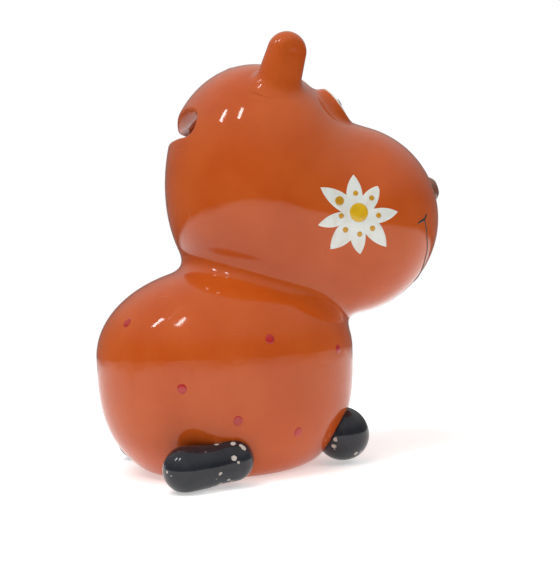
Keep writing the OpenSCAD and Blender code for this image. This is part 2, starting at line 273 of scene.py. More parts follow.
def cavity(f, points):
    """The inside: the figure shrunk by the wall, which is thicker around the slot, with a rounded floor."""
    s = f.sizes
    away = np.sqrt(((points[..., 0] - s.slot_shift) / (0.7 * s.slot_l)) ** 2
                   + ((points[..., 2] - f.slot_z - s.slot_gap / 2) / (2.5 * s.slot_gap)) ** 2)
    swell = np.where(points[..., 1] < f.skull_y, 0, f.slot_swell * np.maximum(0, 1 - away * away))
    return soft_max(figure(f, points) + s.wall + swell, f.floor_t - points[..., 2], 6 * MM)


def notch(f, points):
    """The coin slot: between a sill and a brow that open outward from the level throat, with rounded ends."""
    s = f.sizes
    ease, corner_round, end_round = 1.2 * MM, 3 * MM, 5 * MM
    sill_slope, brow_slope = np.radians(6), np.radians(56)
    out = points[..., 1] - f.inner_y
    out = (out + np.sqrt(out * out + ease ** 2)) / 2
    sill = f.slot_z + out * np.tan(sill_slope) - points[..., 2]
    steep = np.where(points[..., 1] > f.inner_y, np.cos(brow_slope), 1.0)
    brow = (points[..., 2] - f.slot_z - s.slot_gap - out * np.tan(brow_slope)) * steep
    end = np.abs(points[..., 0] - s.slot_shift) - s.slot_l / 2
    tall = soft_max(sill, brow, corner_round)
    slot = soft_max(tall, end, end_round)
    return np.where(points[..., 1] < f.skull_y, 1.0, slot)


def foot_opening(f, points):
    """The hole in the foot and the recess around it: the nearer of two cylinders."""
    radius = np.hypot(points[..., 0], points[..., 1] - f.body_y)
    hole = np.maximum(radius - f.hole_r, points[..., 2] - f.floor_t - 12 * MM)
    recess = np.maximum(radius - f.recess_r, points[..., 2] - f.sizes.recess_depth)
    return np.minimum(hole, recess)


def clay(f, points):
    """The fired clay: inside the figure and above the ground, outside the cavity, the slot and the foot's opening."""
    hole_round, edge_round = 0.4 * MM, 0.5 * MM
    solid = soft_max(figure(f, points), -cavity(f, points), edge_round)
    solid = soft_max(solid, -notch(f, points), f.lip_round)
    solid = soft_max(solid, -foot_opening(f, points), hole_round)
    return soft_max(solid, -points[..., 2], edge_round)


def reach_along(field, origin, directions, far=0.075, halvings=24):
    """Distance along each ray to where the field turns from clay to air, by repeated halving."""
    directions = np.asarray(directions, float)
    low = np.zeros(directions.shape[:-1])
    high = np.full(directions.shape[:-1], far)
    for _ in range(halvings):
        middle = (low + high) / 2
        inside = field(origin + middle[..., None] * directions) < 0
        low = np.where(inside, middle, low)
        high = np.where(inside, high, middle)
    return (low + high) / 2


def field_normals(field, points, step=0.1 * MM):
    """Unit gradient of a field by central differences."""
    parts = []
    for axis in np.eye(3) * step:
        parts.append(field(points + axis) - field(points - axis))
    return unit(np.stack(parts, -1))


# ---------------------------------------------------------------- meshes from arrays

def grid_quads(rows, columns, close_rows=False):
    """Corner numbers of a grid that is closed around its columns, and around its rows if asked."""
    i = np.arange(rows if close_rows else rows - 1)[:, None]
    j = np.arange(columns)[None, :]
    below = (i + 1) % rows
    beside = (j + 1) % columns
    corners = [i * columns + j, i * columns + beside, below * columns + beside, below * columns + j]
    return np.stack(np.broadcast_arrays(*corners), -1).reshape(-1, 4)


def fan_triangles(pole, first, columns):
    """Triangles from a pole to a ring whose points start at first."""
    j = np.arange(columns)
    return np.stack([np.full(columns, pole), first + (j + 1) % columns, first + j], -1)


def new_piece(name, points, quads, triangles, material, normals=None, body=BANK):
    """A mesh object from arrays, with its faces turned outward by the sign of its volume, that rides on a body."""
    points = np.asarray(points, float).reshape(-1, 3)
    quads = np.asarray(quads, int).reshape(-1, 4)
    triangles = np.asarray(triangles, int).reshape(-1, 3)
    split = np.concatenate([triangles, quads[:, [0, 1, 2]], quads[:, [0, 2, 3]]])
    a, b, c = (points[split[:, k]] for k in range(3))
    if (a * np.cross(b, c)).sum() < 0:
        quads = quads[:, ::-1]
        triangles = triangles[:, ::-1]
    used = np.zeros(len(points), bool)
    used[quads.ravel()] = True
    used[triangles.ravel()] = True
    index = np.cumsum(used) - 1
    corners = np.concatenate([index[quads].ravel(), index[triangles].ravel()])
    starts = np.concatenate([np.arange(len(quads)) * 4, len(quads) * 4 + np.arange(len(triangles)) * 3])
    totals = np.concatenate([np.full(len(quads), 4), np.full(len(triangles), 3)])
    mesh = bpy.data.meshes.new(name)
    mesh.vertices.add(int(used.sum()))
    mesh.vertices.foreach_set("co", points[used].astype(np.float32).ravel())
    mesh.loops.add(len(corners))
    mesh.loops.foreach_set("vertex_index", corners.astype(np.int32))
    mesh.polygons.add(len(totals))
    mesh.polygons.foreach_set("loop_start", starts.astype(np.int32))
    mesh.polygons.foreach_set("loop_total", totals.astype(np.int32))
    mesh.polygons.foreach_set("use_smooth", np.ones(len(totals), bool))
    mesh.update(calc_edges=True)
    mesh.validate()
    if normals is not None:
        mesh.normals_split_custom_set_from_vertices(normals.reshape(-1, 3)[used].astype(np.float32))
    mesh.materials.append(material)
    piece = bpy.data.objects.new(name, mesh)
    bpy.context.scene.collection.objects.link(piece)
    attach(piece, body)
    return piece


def mirrored(points, normals):
    """The same arrays on the animal's other side."""
    flip = np.array([-1.0, 1.0, 1.0])
    return points * flip, None if normals is None else normals * flip


# ---------------------------------------------------------------- head and body shells

def neck_rim(f, kind, columns):
    """Ring where the outside or the cavity crosses the neck plane: distance along a ray from the plane's middle as a
    function of the angle around it."""
    t = 2 * np.pi * np.arange(columns) / columns
    out = np.sin(t)[:, None] * np.array([1.0, 0, 0]) + np.cos(t)[:, None] * f.neck_along
    field = (lambda p: figure(f, p)) if kind == "outside" else (lambda p: cavity(f, p))
    return f.neck + reach_along(field, f.neck, out)[:, None] * out


def shell_rays(centre, pole, rim, start, rows):
    """Rays from a centre: each turns evenly from the start angle beside the pole to its own point of the rim."""
    to_rim = rim - centre
    lean = np.arccos(unit(to_rim) @ pole)
    share = np.linspace(0, 1, rows)[:, None]
    turn = start + (lean[None, :] - start) * share
    flat = unit(to_rim - (to_rim @ pole)[:, None] * pole)
    return np.cos(turn)[..., None] * pole + np.sin(turn)[..., None] * flat[None]


def clay_interval(f, origin, directions, near=0.022, far=0.066, samples=176):
    """Where each ray enters and leaves the clay around the slot: the deepest of many samples, refined by thirds, then
    halving outward and inward from it. Also gives the field at the deepest place."""
    shape = directions.shape[:-1]
    rays = directions.reshape(-1, 3)
    radii = np.linspace(near, far, samples)
    values = np.empty((len(rays), samples))
    for k, radius in enumerate(radii):
        values[:, k] = clay(f, origin + radius * rays)
    deepest = np.clip(values.argmin(1), 1, samples - 2)
    low, high = radii[deepest - 1], radii[deepest + 1]
    for _ in range(18):
        a, b = low + (high - low) / 3, high - (high - low) / 3
        first = clay(f, origin + a[:, None] * rays) < clay(f, origin + b[:, None] * rays)
        high = np.where(first, b, high)
        low = np.where(first, low, a)
    middle = (low + high) / 2
    value = clay(f, origin + middle[:, None] * rays)
    number = np.arange(samples)
    beyond = (values > 0) & (number[None, :] > deepest[:, None])
    before = (values > 0) & (number[None, :] < deepest[:, None])
    outer = radii[np.where(beyond.any(1), beyond.argmax(1), samples - 1)]
    inner = radii[np.where(before.any(1), samples - 1 - before[:, ::-1].argmax(1), 0)]
    ends = []
    for air in (inner, outer):
        inside, outside = middle.copy(), air.copy()
        for _ in range(20):
            half = (inside + outside) / 2
            in_clay = clay(f, origin + half[:, None] * rays) < 0
            inside = np.where(in_clay, half, inside)
            outside = np.where(in_clay, outside, half)
        ends.append(np.where(value < 0, (inside + outside) / 2, middle).reshape(shape))
    return ends[0], ends[1], value.reshape(shape)


def slot_loop(f, origin, window):
    """Directions to the edge of the slot's hole: for each point of the window, halving along the line from an anchor
    inside the slot to that point, until no clay is left on the ray."""
    s = f.sizes
    turn = np.arctan2(window[:, 0], window[:, 1])
    share = (turn - turn.min()) / (turn.max() - turn.min())
    half = s.slot_l / 2 - s.slot_gap * 0.6
    start = np.stack([s.slot_shift + (2 * share - 1) * half, np.full(len(window), f.skull_y),
                      np.full(len(window), f.slot_z + s.slot_gap / 2)], -1)
    back = np.broadcast_to(np.array([0, 1.0, 0]), start.shape)
    surface_y = f.skull_y + reach_along(lambda p: figure(f, p), start, back)
    start[:, 1] = np.minimum(f.inner_y - 0.5 * MM, surface_y - 2.2 * MM)
    anchor = unit(start - origin)
    low, high = np.zeros(len(window)), np.ones(len(window))
    for _ in range(16):
        share = (low + high) / 2
        rays = unit(anchor + share[:, None] * (window - anchor))
        open_air = clay_interval(f, origin, rays)[2] > 0
        low = np.where(open_air, share, low)
        high = np.where(open_air, high, share)
    return unit(anchor + high[:, None] * (window - anchor))


def head_arrays(f, columns, rows, collar_rings):
    """The head as one closed shell: outer rows, rim and inner rows from pole to pole, each row point where its ray
    meets the surface, with a collar of rings between a window of the grid and the slot's rounded lip."""
    centre, pole = f.head_centre, f.neck_up
    layers = []
    for kind, field in (("outside", figure), ("cavity", cavity)):
        edge_ring = neck_rim(f, kind, columns)
        rays = shell_rays(centre, pole, edge_ring, 0.0, rows + 1)[1:]
        points = centre + reach_along(lambda p: field(f, p), centre, rays)[..., None] * rays
        points[-1] = edge_ring
        layers.append((points, rays))
    level = np.degrees(np.arccos(np.clip(layers[0][1][:, 0] @ pole, -1, 1)))
    top, bottom = int(np.searchsorted(level, 56)), int(np.searchsorted(level, 102))
    side = np.arange(-int(columns * 31 / 360), int(columns * 53 / 360) + 1) % columns
    down = np.arange(top, bottom + 1)
    ring_i = np.concatenate([np.full(len(side) - 1, top), down[:-1], np.full(len(side) - 1, bottom), down[:0:-1]])
    ring_j = np.concatenate([side[:-1], np.full(len(down) - 1, side[-1]), side[:0:-1],
                             np.full(len(down) - 1, side[0])])
    count = len(ring_i)
    edge = slot_loop(f, centre, layers[0][1][ring_i, ring_j])
    edge_in, edge_out, _ = clay_interval(f, centre, edge)
    lip = centre + ((edge_in + edge_out) / 2)[:, None] * edge
    keep = np.ones((rows - 1, columns), bool)
    keep[top:bottom, :] = ~np.isin(np.arange(columns), side[:-1])[None, :]
    outer = grid_quads(rows, columns)[keep.ravel()]
    block = rows * columns
    inner = grid_quads(rows, columns)[keep.ravel()][:, ::-1] + block
    rim_i = (rows - 1) * columns + np.arange(columns)
    rim_next = (rows - 1) * columns + (np.arange(columns) + 1) % columns
    rim = np.stack([rim_i, rim_next, rim_next + block, rim_i + block], -1)
    points = [layers[0][0].reshape(-1, 3), layers[1][0].reshape(-1, 3)]
    quads = [outer, inner, rim]
    poles = []
    for k in range(2):
        reach = reach_along((lambda p: figure(f, p)) if k == 0 else (lambda p: cavity(f, p)), centre, pole)
        poles.append(centre + float(reach) * pole)
    points.append(np.array(poles))
    pole_first = 2 * block
    triangles = [fan_triangles(pole_first, 0, columns), fan_triangles(pole_first + 1, block, columns)[:, ::-1]]
    lip_first = pole_first + 2
    points.append(lip)
    number = lip_first + count
    share = (np.arange(1, collar_rings) / collar_rings) ** 1.7
    for k, (_, rays) in enumerate(layers):
        window = rays[ring_i, ring_j]
        fan = unit(edge[None] * (1 - share)[:, None, None] + window[None] * share[:, None, None])
        found = clay_interval(f, centre, fan)[1 - k]
        points.append((centre + found[..., None] * fan).reshape(-1, 3))
        rings = [lip_first + np.arange(count)]
        rings += [number + r * count + np.arange(count) for r in range(collar_rings - 1)]
        rings.append(ring_i * columns + ring_j + k * block)
        number += (collar_rings - 1) * count
        for low, high in zip(rings[:-1], rings[1:]):
            band = np.stack([low, np.roll(low, -1), np.roll(high, -1), high], -1)
            quads.append(band[:, ::-1] if k == 0 else band)
    return np.concatenate(points), np.concatenate(quads), np.concatenate(triangles)


def body_arrays(f, columns, rows):
    """The body as one closed shell around the foot's opening: outer rows from the recess to the neck, the rim, inner
    rows back to the hole, then the wall of the hole, the ledge and the wall of the recess as plain rings."""
    pole = -UP
    centre = f.body_centre
    parts = []
    ground = lambda p: soft_max(figure(f, p), -p[..., 2], 0.5 * MM)
    inside = lambda p: cavity(f, p)
    bevel = 0.35 * MM
    for kind, field, middle, radius in (("outside", ground, centre, f.recess_r + bevel),
                                        ("cavity", inside, centre, f.hole_r + bevel)):
        height = f.sizes.body_z if kind == "outside" else f.sizes.body_z - f.floor_t
        rim = neck_rim(f, kind, columns)
        rays = shell_rays(centre, pole, rim, np.arctan2(radius, height), rows)
        points = middle + reach_along(field, middle, rays)[..., None] * rays
        points[-1] = rim
        parts.append(points)
    to_rim = parts[0][0] - centre
    flat = unit(to_rim * np.array([1.0, 1.0, 0.0]))
    deep, hole, recess = f.sizes.recess_depth, f.hole_r, f.recess_r
    profile = [(hole, f.floor_t - bevel), (hole, (f.floor_t + deep) / 2), (hole, deep + bevel), (hole + bevel, deep),
               ((hole + recess) / 2, deep), (recess - bevel / 2, deep), (recess, deep - bevel / 2), (recess, deep / 2),
               (recess, bevel)]
    rings = [np.array([0, f.body_y, z]) + r * flat for r, z in profile]
    stack = np.concatenate([parts[0], parts[1][::-1], np.stack(rings)])
    quads = grid_quads(len(stack), columns, close_rows=True)
    return stack.reshape(-1, 3), quads, np.zeros((0, 3), int)


# ---------------------------------------------------------------- small lumps of clay

def lump_patch(field, origin, axis, widest, rings, columns, ease=1.0, sink=0.0, depth=0.8 * MM):
    """A closed cap of a blended field seen from a point: rays lean from the axis by an angle that grows with the ring
    to the widest one, and each ends where the field does. The last rings sink a hair, and a second sheet lies below
    the first by a depth that falls to nothing at the outer ring."""
    side = unit(np.cross(axis, np.array([0.31, 0.95, 0.07])))
    other = np.cross(axis, side)
    lean = widest * (np.arange(1, rings + 1) / rings) ** ease
    t = 2 * np.pi * np.arange(columns) / columns
    flat = np.cos(t)[:, None] * side + np.sin(t)[:, None] * other
    rays = np.cos(lean)[:, None, None] * axis + np.sin(lean)[:, None, None] * flat[None]
    rays = np.concatenate([rays.reshape(-1, 3), axis[None]])
    points = origin + reach_along(field, origin, rays, far=0.05)[:, None] * rays
    normals = field_normals(field, points)
    share = np.append(np.repeat(np.arange(1, rings + 1) / rings, columns), 0.0)
    points = points - (sink * soft_step((share - 0.8) / 0.2))[:, None] * normals
    under = points - (depth * (1 - soft_step((share - 0.7) / 0.3)))[:, None] * normals
    first = len(points)
    last = (rings - 1) * columns
    top = grid_quads(rings, columns)
    below = np.where(top < last, top + first, top)[:, ::-1]
    triangles = np.concatenate([fan_triangles(rings * columns, 0, columns),
                                fan_triangles(rings * columns + first, first, columns)[:, ::-1]])
    return (np.concatenate([points, under]), np.concatenate([top, below]), triangles,
            np.concatenate([normals, -normals]))


def whole_lump(field, origin, axis, rings, columns):
    """A closed lump: rays from its middle lean from the axis right round to its back, and end where the field does."""
    side = unit(np.cross(axis, np.array([0.31, 0.95, 0.07])))
    other = np.cross(axis, side)
    lean = np.pi * np.arange(1, rings) / rings
    t = 2 * np.pi * np.arange(columns) / columns
    flat = np.cos(t)[:, None] * side + np.sin(t)[:, None] * other
    rays = np.cos(lean)[:, None, None] * axis + np.sin(lean)[:, None, None] * flat[None]
    rays = np.concatenate([rays.reshape(-1, 3), axis[None], -axis[None]])
    points = origin + reach_along(field, origin, rays, far=0.05)[:, None] * rays
    quads = grid_quads(rings - 1, columns)
    last = (rings - 1) * columns
    triangles = np.concatenate([fan_triangles(last, 0, columns),
                                fan_triangles(last + 1, (rings - 2) * columns, columns)[:, ::-1]])
    return points, quads, triangles, field_normals(field, points)


def turn_matrix(x_turn, y_turn, z_turn):
    """Turns about X, then Y, then Z."""
    cx, sx, cy, sy, cz, sz = (fn(a) for a in (x_turn, y_turn, z_turn) for fn in (np.cos, np.sin))
    about_x = np.array([[1, 0, 0], [0, cx, -sx], [0, sx, cx]])
    about_y = np.array([[cy, 0, sy], [0, 1, 0], [-sy, 0, cy]])
    about_z = np.array([[cz, -sz, 0], [sz, cz, 0], [0, 0, 1]])
    return about_z @ about_y @ about_x


def ear_field(f, features, points):
    """An ear: a capsule that tapers to its tip, flattened across, with a dish scooped from its outer side, blended
    into the skull over a short reach so that a groove is left around its root."""
    skull_top = f.sizes.skull_z + f.sizes.skull_h / 2
    root = np.array([-(f.sizes.skull_w / 2 - features.ear_inset), f.skull_y + 0.5 * MM,
                     f.sizes.skull_z + 0.56 * f.sizes.skull_h / 2])
    turn = turn_matrix(features.ear_lean, -features.ear_splay, 0)
    reach = (skull_top + features.ear_rise - root[2]) / np.cos(features.ear_lean) / np.cos(features.ear_splay)
    tip_width, tip_thickness, taper, flattening, inside = 0.82, 0.9, 0.18, 0.09, 0.985
    dish_r, dish_depth, dish_round, root_blend = 10 * MM, 1.2 * MM, 2.2 * MM, 2.6 * MM
    tip = reach - tip_width * features.ear_w / 2
    q = (points - root) @ turn
    h = np.clip(q[..., 2] / tip, 0, 1)
    q[..., 2] -= h * tip
    q[..., 0] *= features.ear_w / features.ear_t * (1 - flattening * h)
    radius = inside * features.ear_w / 2 * (1 - taper * h)
    capsule = (np.sqrt((q * q).sum(-1)) - radius) * 0.85
    dish = root + turn @ np.array([dish_depth - tip_thickness * features.ear_t / 2 - dish_r, -features.ear_w / 8, tip])
    scoop = dish_r - np.sqrt(((points - dish) ** 2).sum(-1))
    ear = soft_max(capsule, scoop, dish_round)
    return soft_min(ear, figure(f, points), root_blend), root, turn @ UP, tip


def eye_place(f, features):
    """Middle of an eye's flat face and the turn that brings Z to its axis."""
    away = heading(features.eye_swing, features.eye_rise)
    face = f.skull + (float(reach_along(lambda p: figure(f, p), f.skull, away)) + features.eye_out) * away
    return face, turn_matrix(np.pi / 2 - features.eye_pitch, 0, -features.eye_yaw)


def eye_mound(f, features, points):
    """A short cone of clay with a rounded rim and a flat face, blended into the head."""
    face, turn = eye_place(f, features)
    q = (points - face) @ turn
    radius = np.hypot(q[..., 0], q[..., 1])
    wide = features.eye_d / 2 * (1 - 0.2 * q[..., 2] / (11 * MM))
    side = (radius - wide) * 0.98
    mound = soft_max(side, q[..., 2], 1.4 * MM)
    return soft_min(mound, figure(f, points), 3.2 * MM)


def eye_enamel(f, features, points):
    """The painted face: a thin disc on the mound with the eyeball standing out of it."""
    face, turn = eye_place(f, features)
    q = (points - face) @ turn
    radius = np.hypot(q[..., 0], q[..., 1])
    disc = soft_max(radius - features.eye_d / 2 + 0.25 * MM, q[..., 2] - 0.18 * MM, 0.5 * MM)
    ball_r = features.eyeball_d / 2
    ball = np.sqrt(radius ** 2 + (q[..., 2] - 1.6 * MM + ball_r) ** 2) - ball_r
    return soft_min(disc, ball, 0.6 * MM)


def hind_foot(points):
    """A bean: three blended balls in a row along the body's side, the front one a little higher, flat on the
    ground."""
    low, high = (np.array(v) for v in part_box("foot_hind_right"))
    r = (high[2] - low[2]) / 2 + 0.15 * MM
    x = low[0] + r
    ends = [(low[1] + r * 0.92, r * 1.1, r * 0.86), ((low[1] + high[1]) / 2, r * 0.97, r * 0.86),
            (high[1] - r * 1.0, r * 0.96, r * 0.96)]
    value = None
    for y, z, radius in ends:
        ball = np.sqrt(((points - np.array([x + r - radius - r * 0.03, y, z])) ** 2).sum(-1)) - radius
        value = ball if value is None else soft_min(value, ball, 4 * MM)
    return soft_max(value, -points[..., 2], 1.2 * MM), np.array([x, (low[1] + high[1]) / 2, r])


def front_paw(points):
    """A paw: a ball a little taller than wide, drawn in below, and flat on the ground."""
    low, high = (np.array(v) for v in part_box("foot_front_right"))
    r = (high[2] - low[2]) / 2
    middle = np.array([low[0] + r, low[1] + r, low[2] + r])
    q = (points - middle) / r
    lopsided = 1 + 0.03 * np.sin(2.2 * q[..., 1] + 1.3 * q[..., 2]) - 0.03
    value = (np.sqrt((q * q).sum(-1)) - 0.985 * lopsided) * r
    return soft_max(value, -points[..., 2], 1.5 * MM), middle


# ---------------------------------------------------------------- painted marks

def draped(f, centre, away, across, u, v, height):
    """Points at u across and v up from a mark's centre, carried along the away direction on to the figure, and raised
    along its normal by the given height."""
    upward = np.cross(across, away)
    upward = upward if upward[2] > 0 else -upward
    start = centre + u[..., None] * across + v[..., None] * upward + 14 * MM * away
    reach = reach_along(lambda p: -figure(f, p), start, np.broadcast_to(-away, start.shape), far=0.03)
    points = start - reach[..., None] * away
    normals = field_normals(lambda p: figure(f, p), points)
    return points + height[..., None] * normals, normals


def enamel_profile(share, relief):
    """Height of an enamel mark from its middle (0) to its edge (1): nearly level, then rounding down under the
    surface."""
    return relief * (np.sqrt(np.clip(1 - share ** 5, 0, 1)) * (1 + 0.25 * (1 - share ** 2)) - 0.12)


# Corners of the flower, tip and valley in turn: angle in degrees, distance from the middle in millimetres.
PETALS = ((97.2, 12.0), (75.4, 5.3), (54.4, 10.5), (46.6, 9.8), (13.8, 4.8), (2.4, 12.7), (-25.9, 7.3), (-49.1, 13.9),
          (-70.9, 6.9), (-86.7, 12.9), (-105.6, 8.9), (-127.7, 14.4), (-145.9, 7.6), (-161.7, 13.5), (-180.9, 5.5),
          (-211.0, 14.1), (-233.9, 6.6), (-262.8, 12.0))


def petal_outline(theta, bulge=0.09, steps=24):
    """Distance from the flower's middle to its edge over the angle: sides between tips and valleys, each bulging by
    four u (1 - u) times a share of its own length."""
    angle, radius = np.radians([a for a, _ in PETALS]), np.array([r for _, r in PETALS])
    corner = radius * np.exp(1j * angle)
    start, side = corner[:-1, None], np.diff(corner)[:, None]
    u = np.arange(steps) / steps
    curve = start + u * side + 4 * u * (1 - u) * bulge * 1j * side
    turn = np.unwrap(np.angle(curve.ravel()))
    order = np.argsort(turn)
    return np.interp(theta, turn[order], np.abs(curve.ravel())[order], period=2 * np.pi)


# Dots on the petals: angle in degrees, distance and radius in millimetres.
PETAL_DOTS = ((99.8, 6.0, 0.85), (48, 6.1, 0.85), (-7.4, 6.3, 0.85), (-47.7, 6.5, 0.9), (-87, 6.6, 0.85),
              (-128, 6.8, 0.9), (-168, 5.7, 0.85), (151, 7.0, 1.45))
# Dots on the body: swing and rise in degrees, seen from the middle of the body.
RED_DOTS = ((159.3, 16.6), (128.3, -11.9), (103.7, -27.2), (86.7, 8.2), (45.0, 0.3), (70.8, -34.7), (204, 4),
            (-24, -30), (-50, 12), (-84, -20), (-112, 10), (-142, -14), (-160, -38), (-62, -36))


def mark_mesh(f, spots, rings, columns, relief, outline=None, lift=0.0):
    """Caps of enamel draped on the figure: one polar grid for each spot, with its outline as a radius over the
    angle."""
    share = (np.arange(1, rings + 1) / rings) ** 0.75
    t = 2 * np.pi * np.arange(columns) / columns
    points, quads, triangles = [], [], []
    number = 0
    for centre, away, across, radius, stretch in spots:
        edge = outline(t) if outline is not None else np.full(columns, radius)
        u = share[:, None] * edge * np.cos(t) * stretch[0]
        v = share[:, None] * edge * np.sin(t) * stretch[1]
        height = np.broadcast_to(enamel_profile(share, relief)[:, None] + lift, u.shape)
        body, _ = draped(f, centre, away, across, u, v, height)
        top, normal = draped(f, centre, away, across, np.zeros(1), np.zeros(1), np.full(1, 1.25 * relief * 0.88 + lift))
        base = top - normal * (1.25 * relief + lift + 0.4 * MM)
        points += [body.reshape(-1, 3), top, base]
        quads.append(grid_quads(rings, columns) + number)
        pole = number + rings * columns
        triangles.append(fan_triangles(pole, number, columns))
        triangles.append(fan_triangles(pole + 1, number + (rings - 1) * columns, columns)[:, ::-1])
        number += rings * columns + 2
    return np.concatenate(points), np.concatenate(quads), np.concatenate(triangles)


def spot(f, origin, swing, rise, radius, stretch=(1, 1)):
    """Centre, outward direction and sideways direction of a round mark at a heading from an origin."""
    aim = heading(np.radians(swing), np.radians(rise))
    centre = origin + float(reach_along(lambda p: figure(f, p), origin, aim)) * aim
    away = field_normals(lambda p: figure(f, p), centre[None])[0]
    across = unit(np.cross(UP, away))
    return centre, away, across, radius, stretch


def brush_line(f, path, widths, relief, columns=14):
    """A brush stroke: a low half-round ridge along headings from the muzzle's middle. Its points are draped along the
    path's own rays, offset sideways by the width."""
    aims = unit(np.array([heading(np.radians(a), np.radians(b)) for a, b in path]))
    count = len(path)
    fine = np.linspace(0, count - 1, 160)
    low = np.clip(fine.astype(int), 0, count - 2)
    part = (fine - low)[:, None]
    before, after = aims[np.clip(low - 1, 0, count - 1)], aims[np.clip(low + 2, 0, count - 1)]
    a, b = aims[low], aims[low + 1]
    curve = 0.5 * (2 * a + (b - before) * part + (2 * before - 5 * a + 4 * b - after) * part ** 2
                   + (3 * a - before - 3 * b + after) * part ** 3)
    curve = unit(curve)
    wide = np.interp(fine, np.arange(count), widths)
    reach = reach_along(lambda p: figure(f, p), f.muzzle, curve)
    spine = f.muzzle + reach[:, None] * curve
    tangent = unit(np.gradient(spine, axis=0))
    normal = field_normals(lambda p: figure(f, p), spine)
    side = unit(np.cross(normal, tangent))
    t = np.linspace(-1, 1, columns)
    rows = spine[:, None] + (wide[:, None] * t[None, :])[..., None] * side[:, None]
    aim = unit(rows - f.muzzle)
    hit = f.muzzle + reach_along(lambda p: figure(f, p), f.muzzle, aim)[..., None] * aim
    out = field_normals(lambda p: figure(f, p), hit)
    ridge = np.sqrt(np.clip(1 - t ** 4, 0, 1)) - 0.12
    fullness = np.minimum(wide / widths.max() + 0.35, 1)
    height = relief * ridge[None, :] * fullness[:, None]
    top = hit + height[..., None] * out
    under = hit[:, ::-1] - 0.3 * MM * out[:, ::-1]
    loop = np.concatenate([top, under], 1)
    around = loop.shape[1]
    quads = grid_quads(len(loop), around)
    ends = np.stack([loop[0].mean(0), loop[-1].mean(0)])
    last = loop.shape[0] * around
    triangles = np.concatenate([fan_triangles(last, 0, around),
                                fan_triangles(last + 1, last - around, around)[:, ::-1]])
    return np.concatenate([loop.reshape(-1, 3), ends]), quads, triangles


# ---------------------------------------------------------------- finishes

class Wiring:
    """Adds nodes to a tree: each input is either a value or another node's output."""

    def __init__(self, tree):
        self.tree = tree

    def add(self, kind, inputs=None, **settings):
        node = self.tree.nodes.new(kind)
        for key, value in settings.items():
            setattr(node, key, value)
        for key, value in (inputs or {}).items():
            socket = node.inputs[key]
            if isinstance(value, bpy.types.NodeSocket):
                self.tree.links.new(value, socket)
            elif isinstance(value, (tuple, list)) and len(value) == 3 and socket.type == "RGBA":
                socket.default_value = (*value, 1.0)
            else:
                socket.default_value = value
        return node

    def math(self, operation, first, second=0.0, clamp=False):
        return self.add("ShaderNodeMath", {0: first, 1: second}, operation=operation, use_clamp=clamp).outputs[0]

    def mix(self, share, first, second, blend="MIX"):
        node = self.add("ShaderNodeMix", {0: share, 6: first, 7: second}, data_type="RGBA", blend_type=blend)
        return node.outputs[2]

    def ramp(self, value, low, high, start=0.0, end=1.0):
        node = self.add("ShaderNodeMapRange", {0: value, 1: low, 2: high, 3: start, 4: end},
                        interpolation_type="SMOOTHSTEP")
        return node.outputs[0]

    def noise(self, place, scale, detail=2.0, roughness=0.5, distortion=0.0):
        node = self.add("ShaderNodeTexNoise", {"Vector": place, "Scale": scale, "Detail": detail,
                                               "Roughness": roughness, "Distortion": distortion})
        return node.outputs[0]

    def cells(self, place, scale, feature="F1", spread=1.0):
        return self.add("ShaderNodeTexVoronoi", {"Vector": place, "Scale": scale, "Randomness": spread},
                        feature=feature).outputs["Distance"]

    def place(self, scale=(1, 1, 1), shift=(0, 0, 0), turn=(0, 0, 0)):
        coordinate = self.add("ShaderNodeTexCoord").outputs["Object"]
        return self.add("ShaderNodeMapping", {"Vector": coordinate, "Scale": scale, "Location": shift,
                                              "Rotation": turn}).outputs[0]


def new_group(name, inputs, outputs):
    """An empty node group with named sockets, its wiring, and its input and output nodes."""
    group = bpy.data.node_groups.new(name, "ShaderNodeTree")
    for label, kind, value in inputs:
        socket = group.interface.new_socket(label, in_out="INPUT", socket_type="NodeSocket" + kind)
        socket.default_value = (*value, 1.0) if kind == "Color" else value
    for label, kind in outputs:
        group.interface.new_socket(label, in_out="OUTPUT", socket_type="NodeSocket" + kind)
    wiring = Wiring(group)
    return group, wiring, wiring.add("NodeGroupInput").outputs, wiring.add("NodeGroupOutput")


def finish_group(group, sink, results):
    """Connects the results to the group's outputs."""
    for label, socket in results.items():
        group.links.new(socket, sink.inputs[label])
    return group


def mottle_group():
    """Colour of a brushed glaze: soft clouds between thin and full glaze, pools of deeper colour, and iron specks."""
    group, w, given, sink = new_group(
        "Glaze mottle",
        [("Full", "Color", (0.5, 0.1, 0.01)), ("Thin", "Color", (0.6, 0.2, 0.05)), ("Deep", "Color", (0.3, 0.05, 0.01)),
         ("Cloud scale", "Float", 38.0), ("Speck amount", "Float", 0.5)],
        [("Color", "Color"), ("Speck", "Float")])
    place = w.place()
    clouds = w.ramp(w.noise(place, given["Cloud scale"], 4.0, 0.6, 0.4), 0.36, 0.68)
    colour = w.mix(w.math("MULTIPLY", clouds, 0.75), given["Full"], given["Thin"])
    pools = w.ramp(w.noise(w.place(shift=(0.4, 0.1, 0.2)), 60.0, 2.0, 0.5), 0.50, 0.85)
    colour = w.mix(w.math("MULTIPLY", pools, 0.25), colour, given["Deep"])
    grain = w.ramp(w.noise(place, 900.0, 2.0, 0.6), 0.3, 0.75)
    colour = w.mix(w.math("MULTIPLY", grain, 0.10), colour, given["Thin"])
    near = w.cells(place, 150.0)
    chosen = w.ramp(w.noise(w.place(shift=(0.7, 0.3, 0.9)), 120.0, 1.0), 0.66, 0.69)
    speck = w.math("MULTIPLY", w.math("MULTIPLY", w.ramp(near, 0.13, 0.06), chosen), given["Speck amount"])
    colour = w.mix(speck, colour, (0.05, 0.016, 0.008))
    return finish_group(group, sink, {"Color": colour, "Speck": speck})


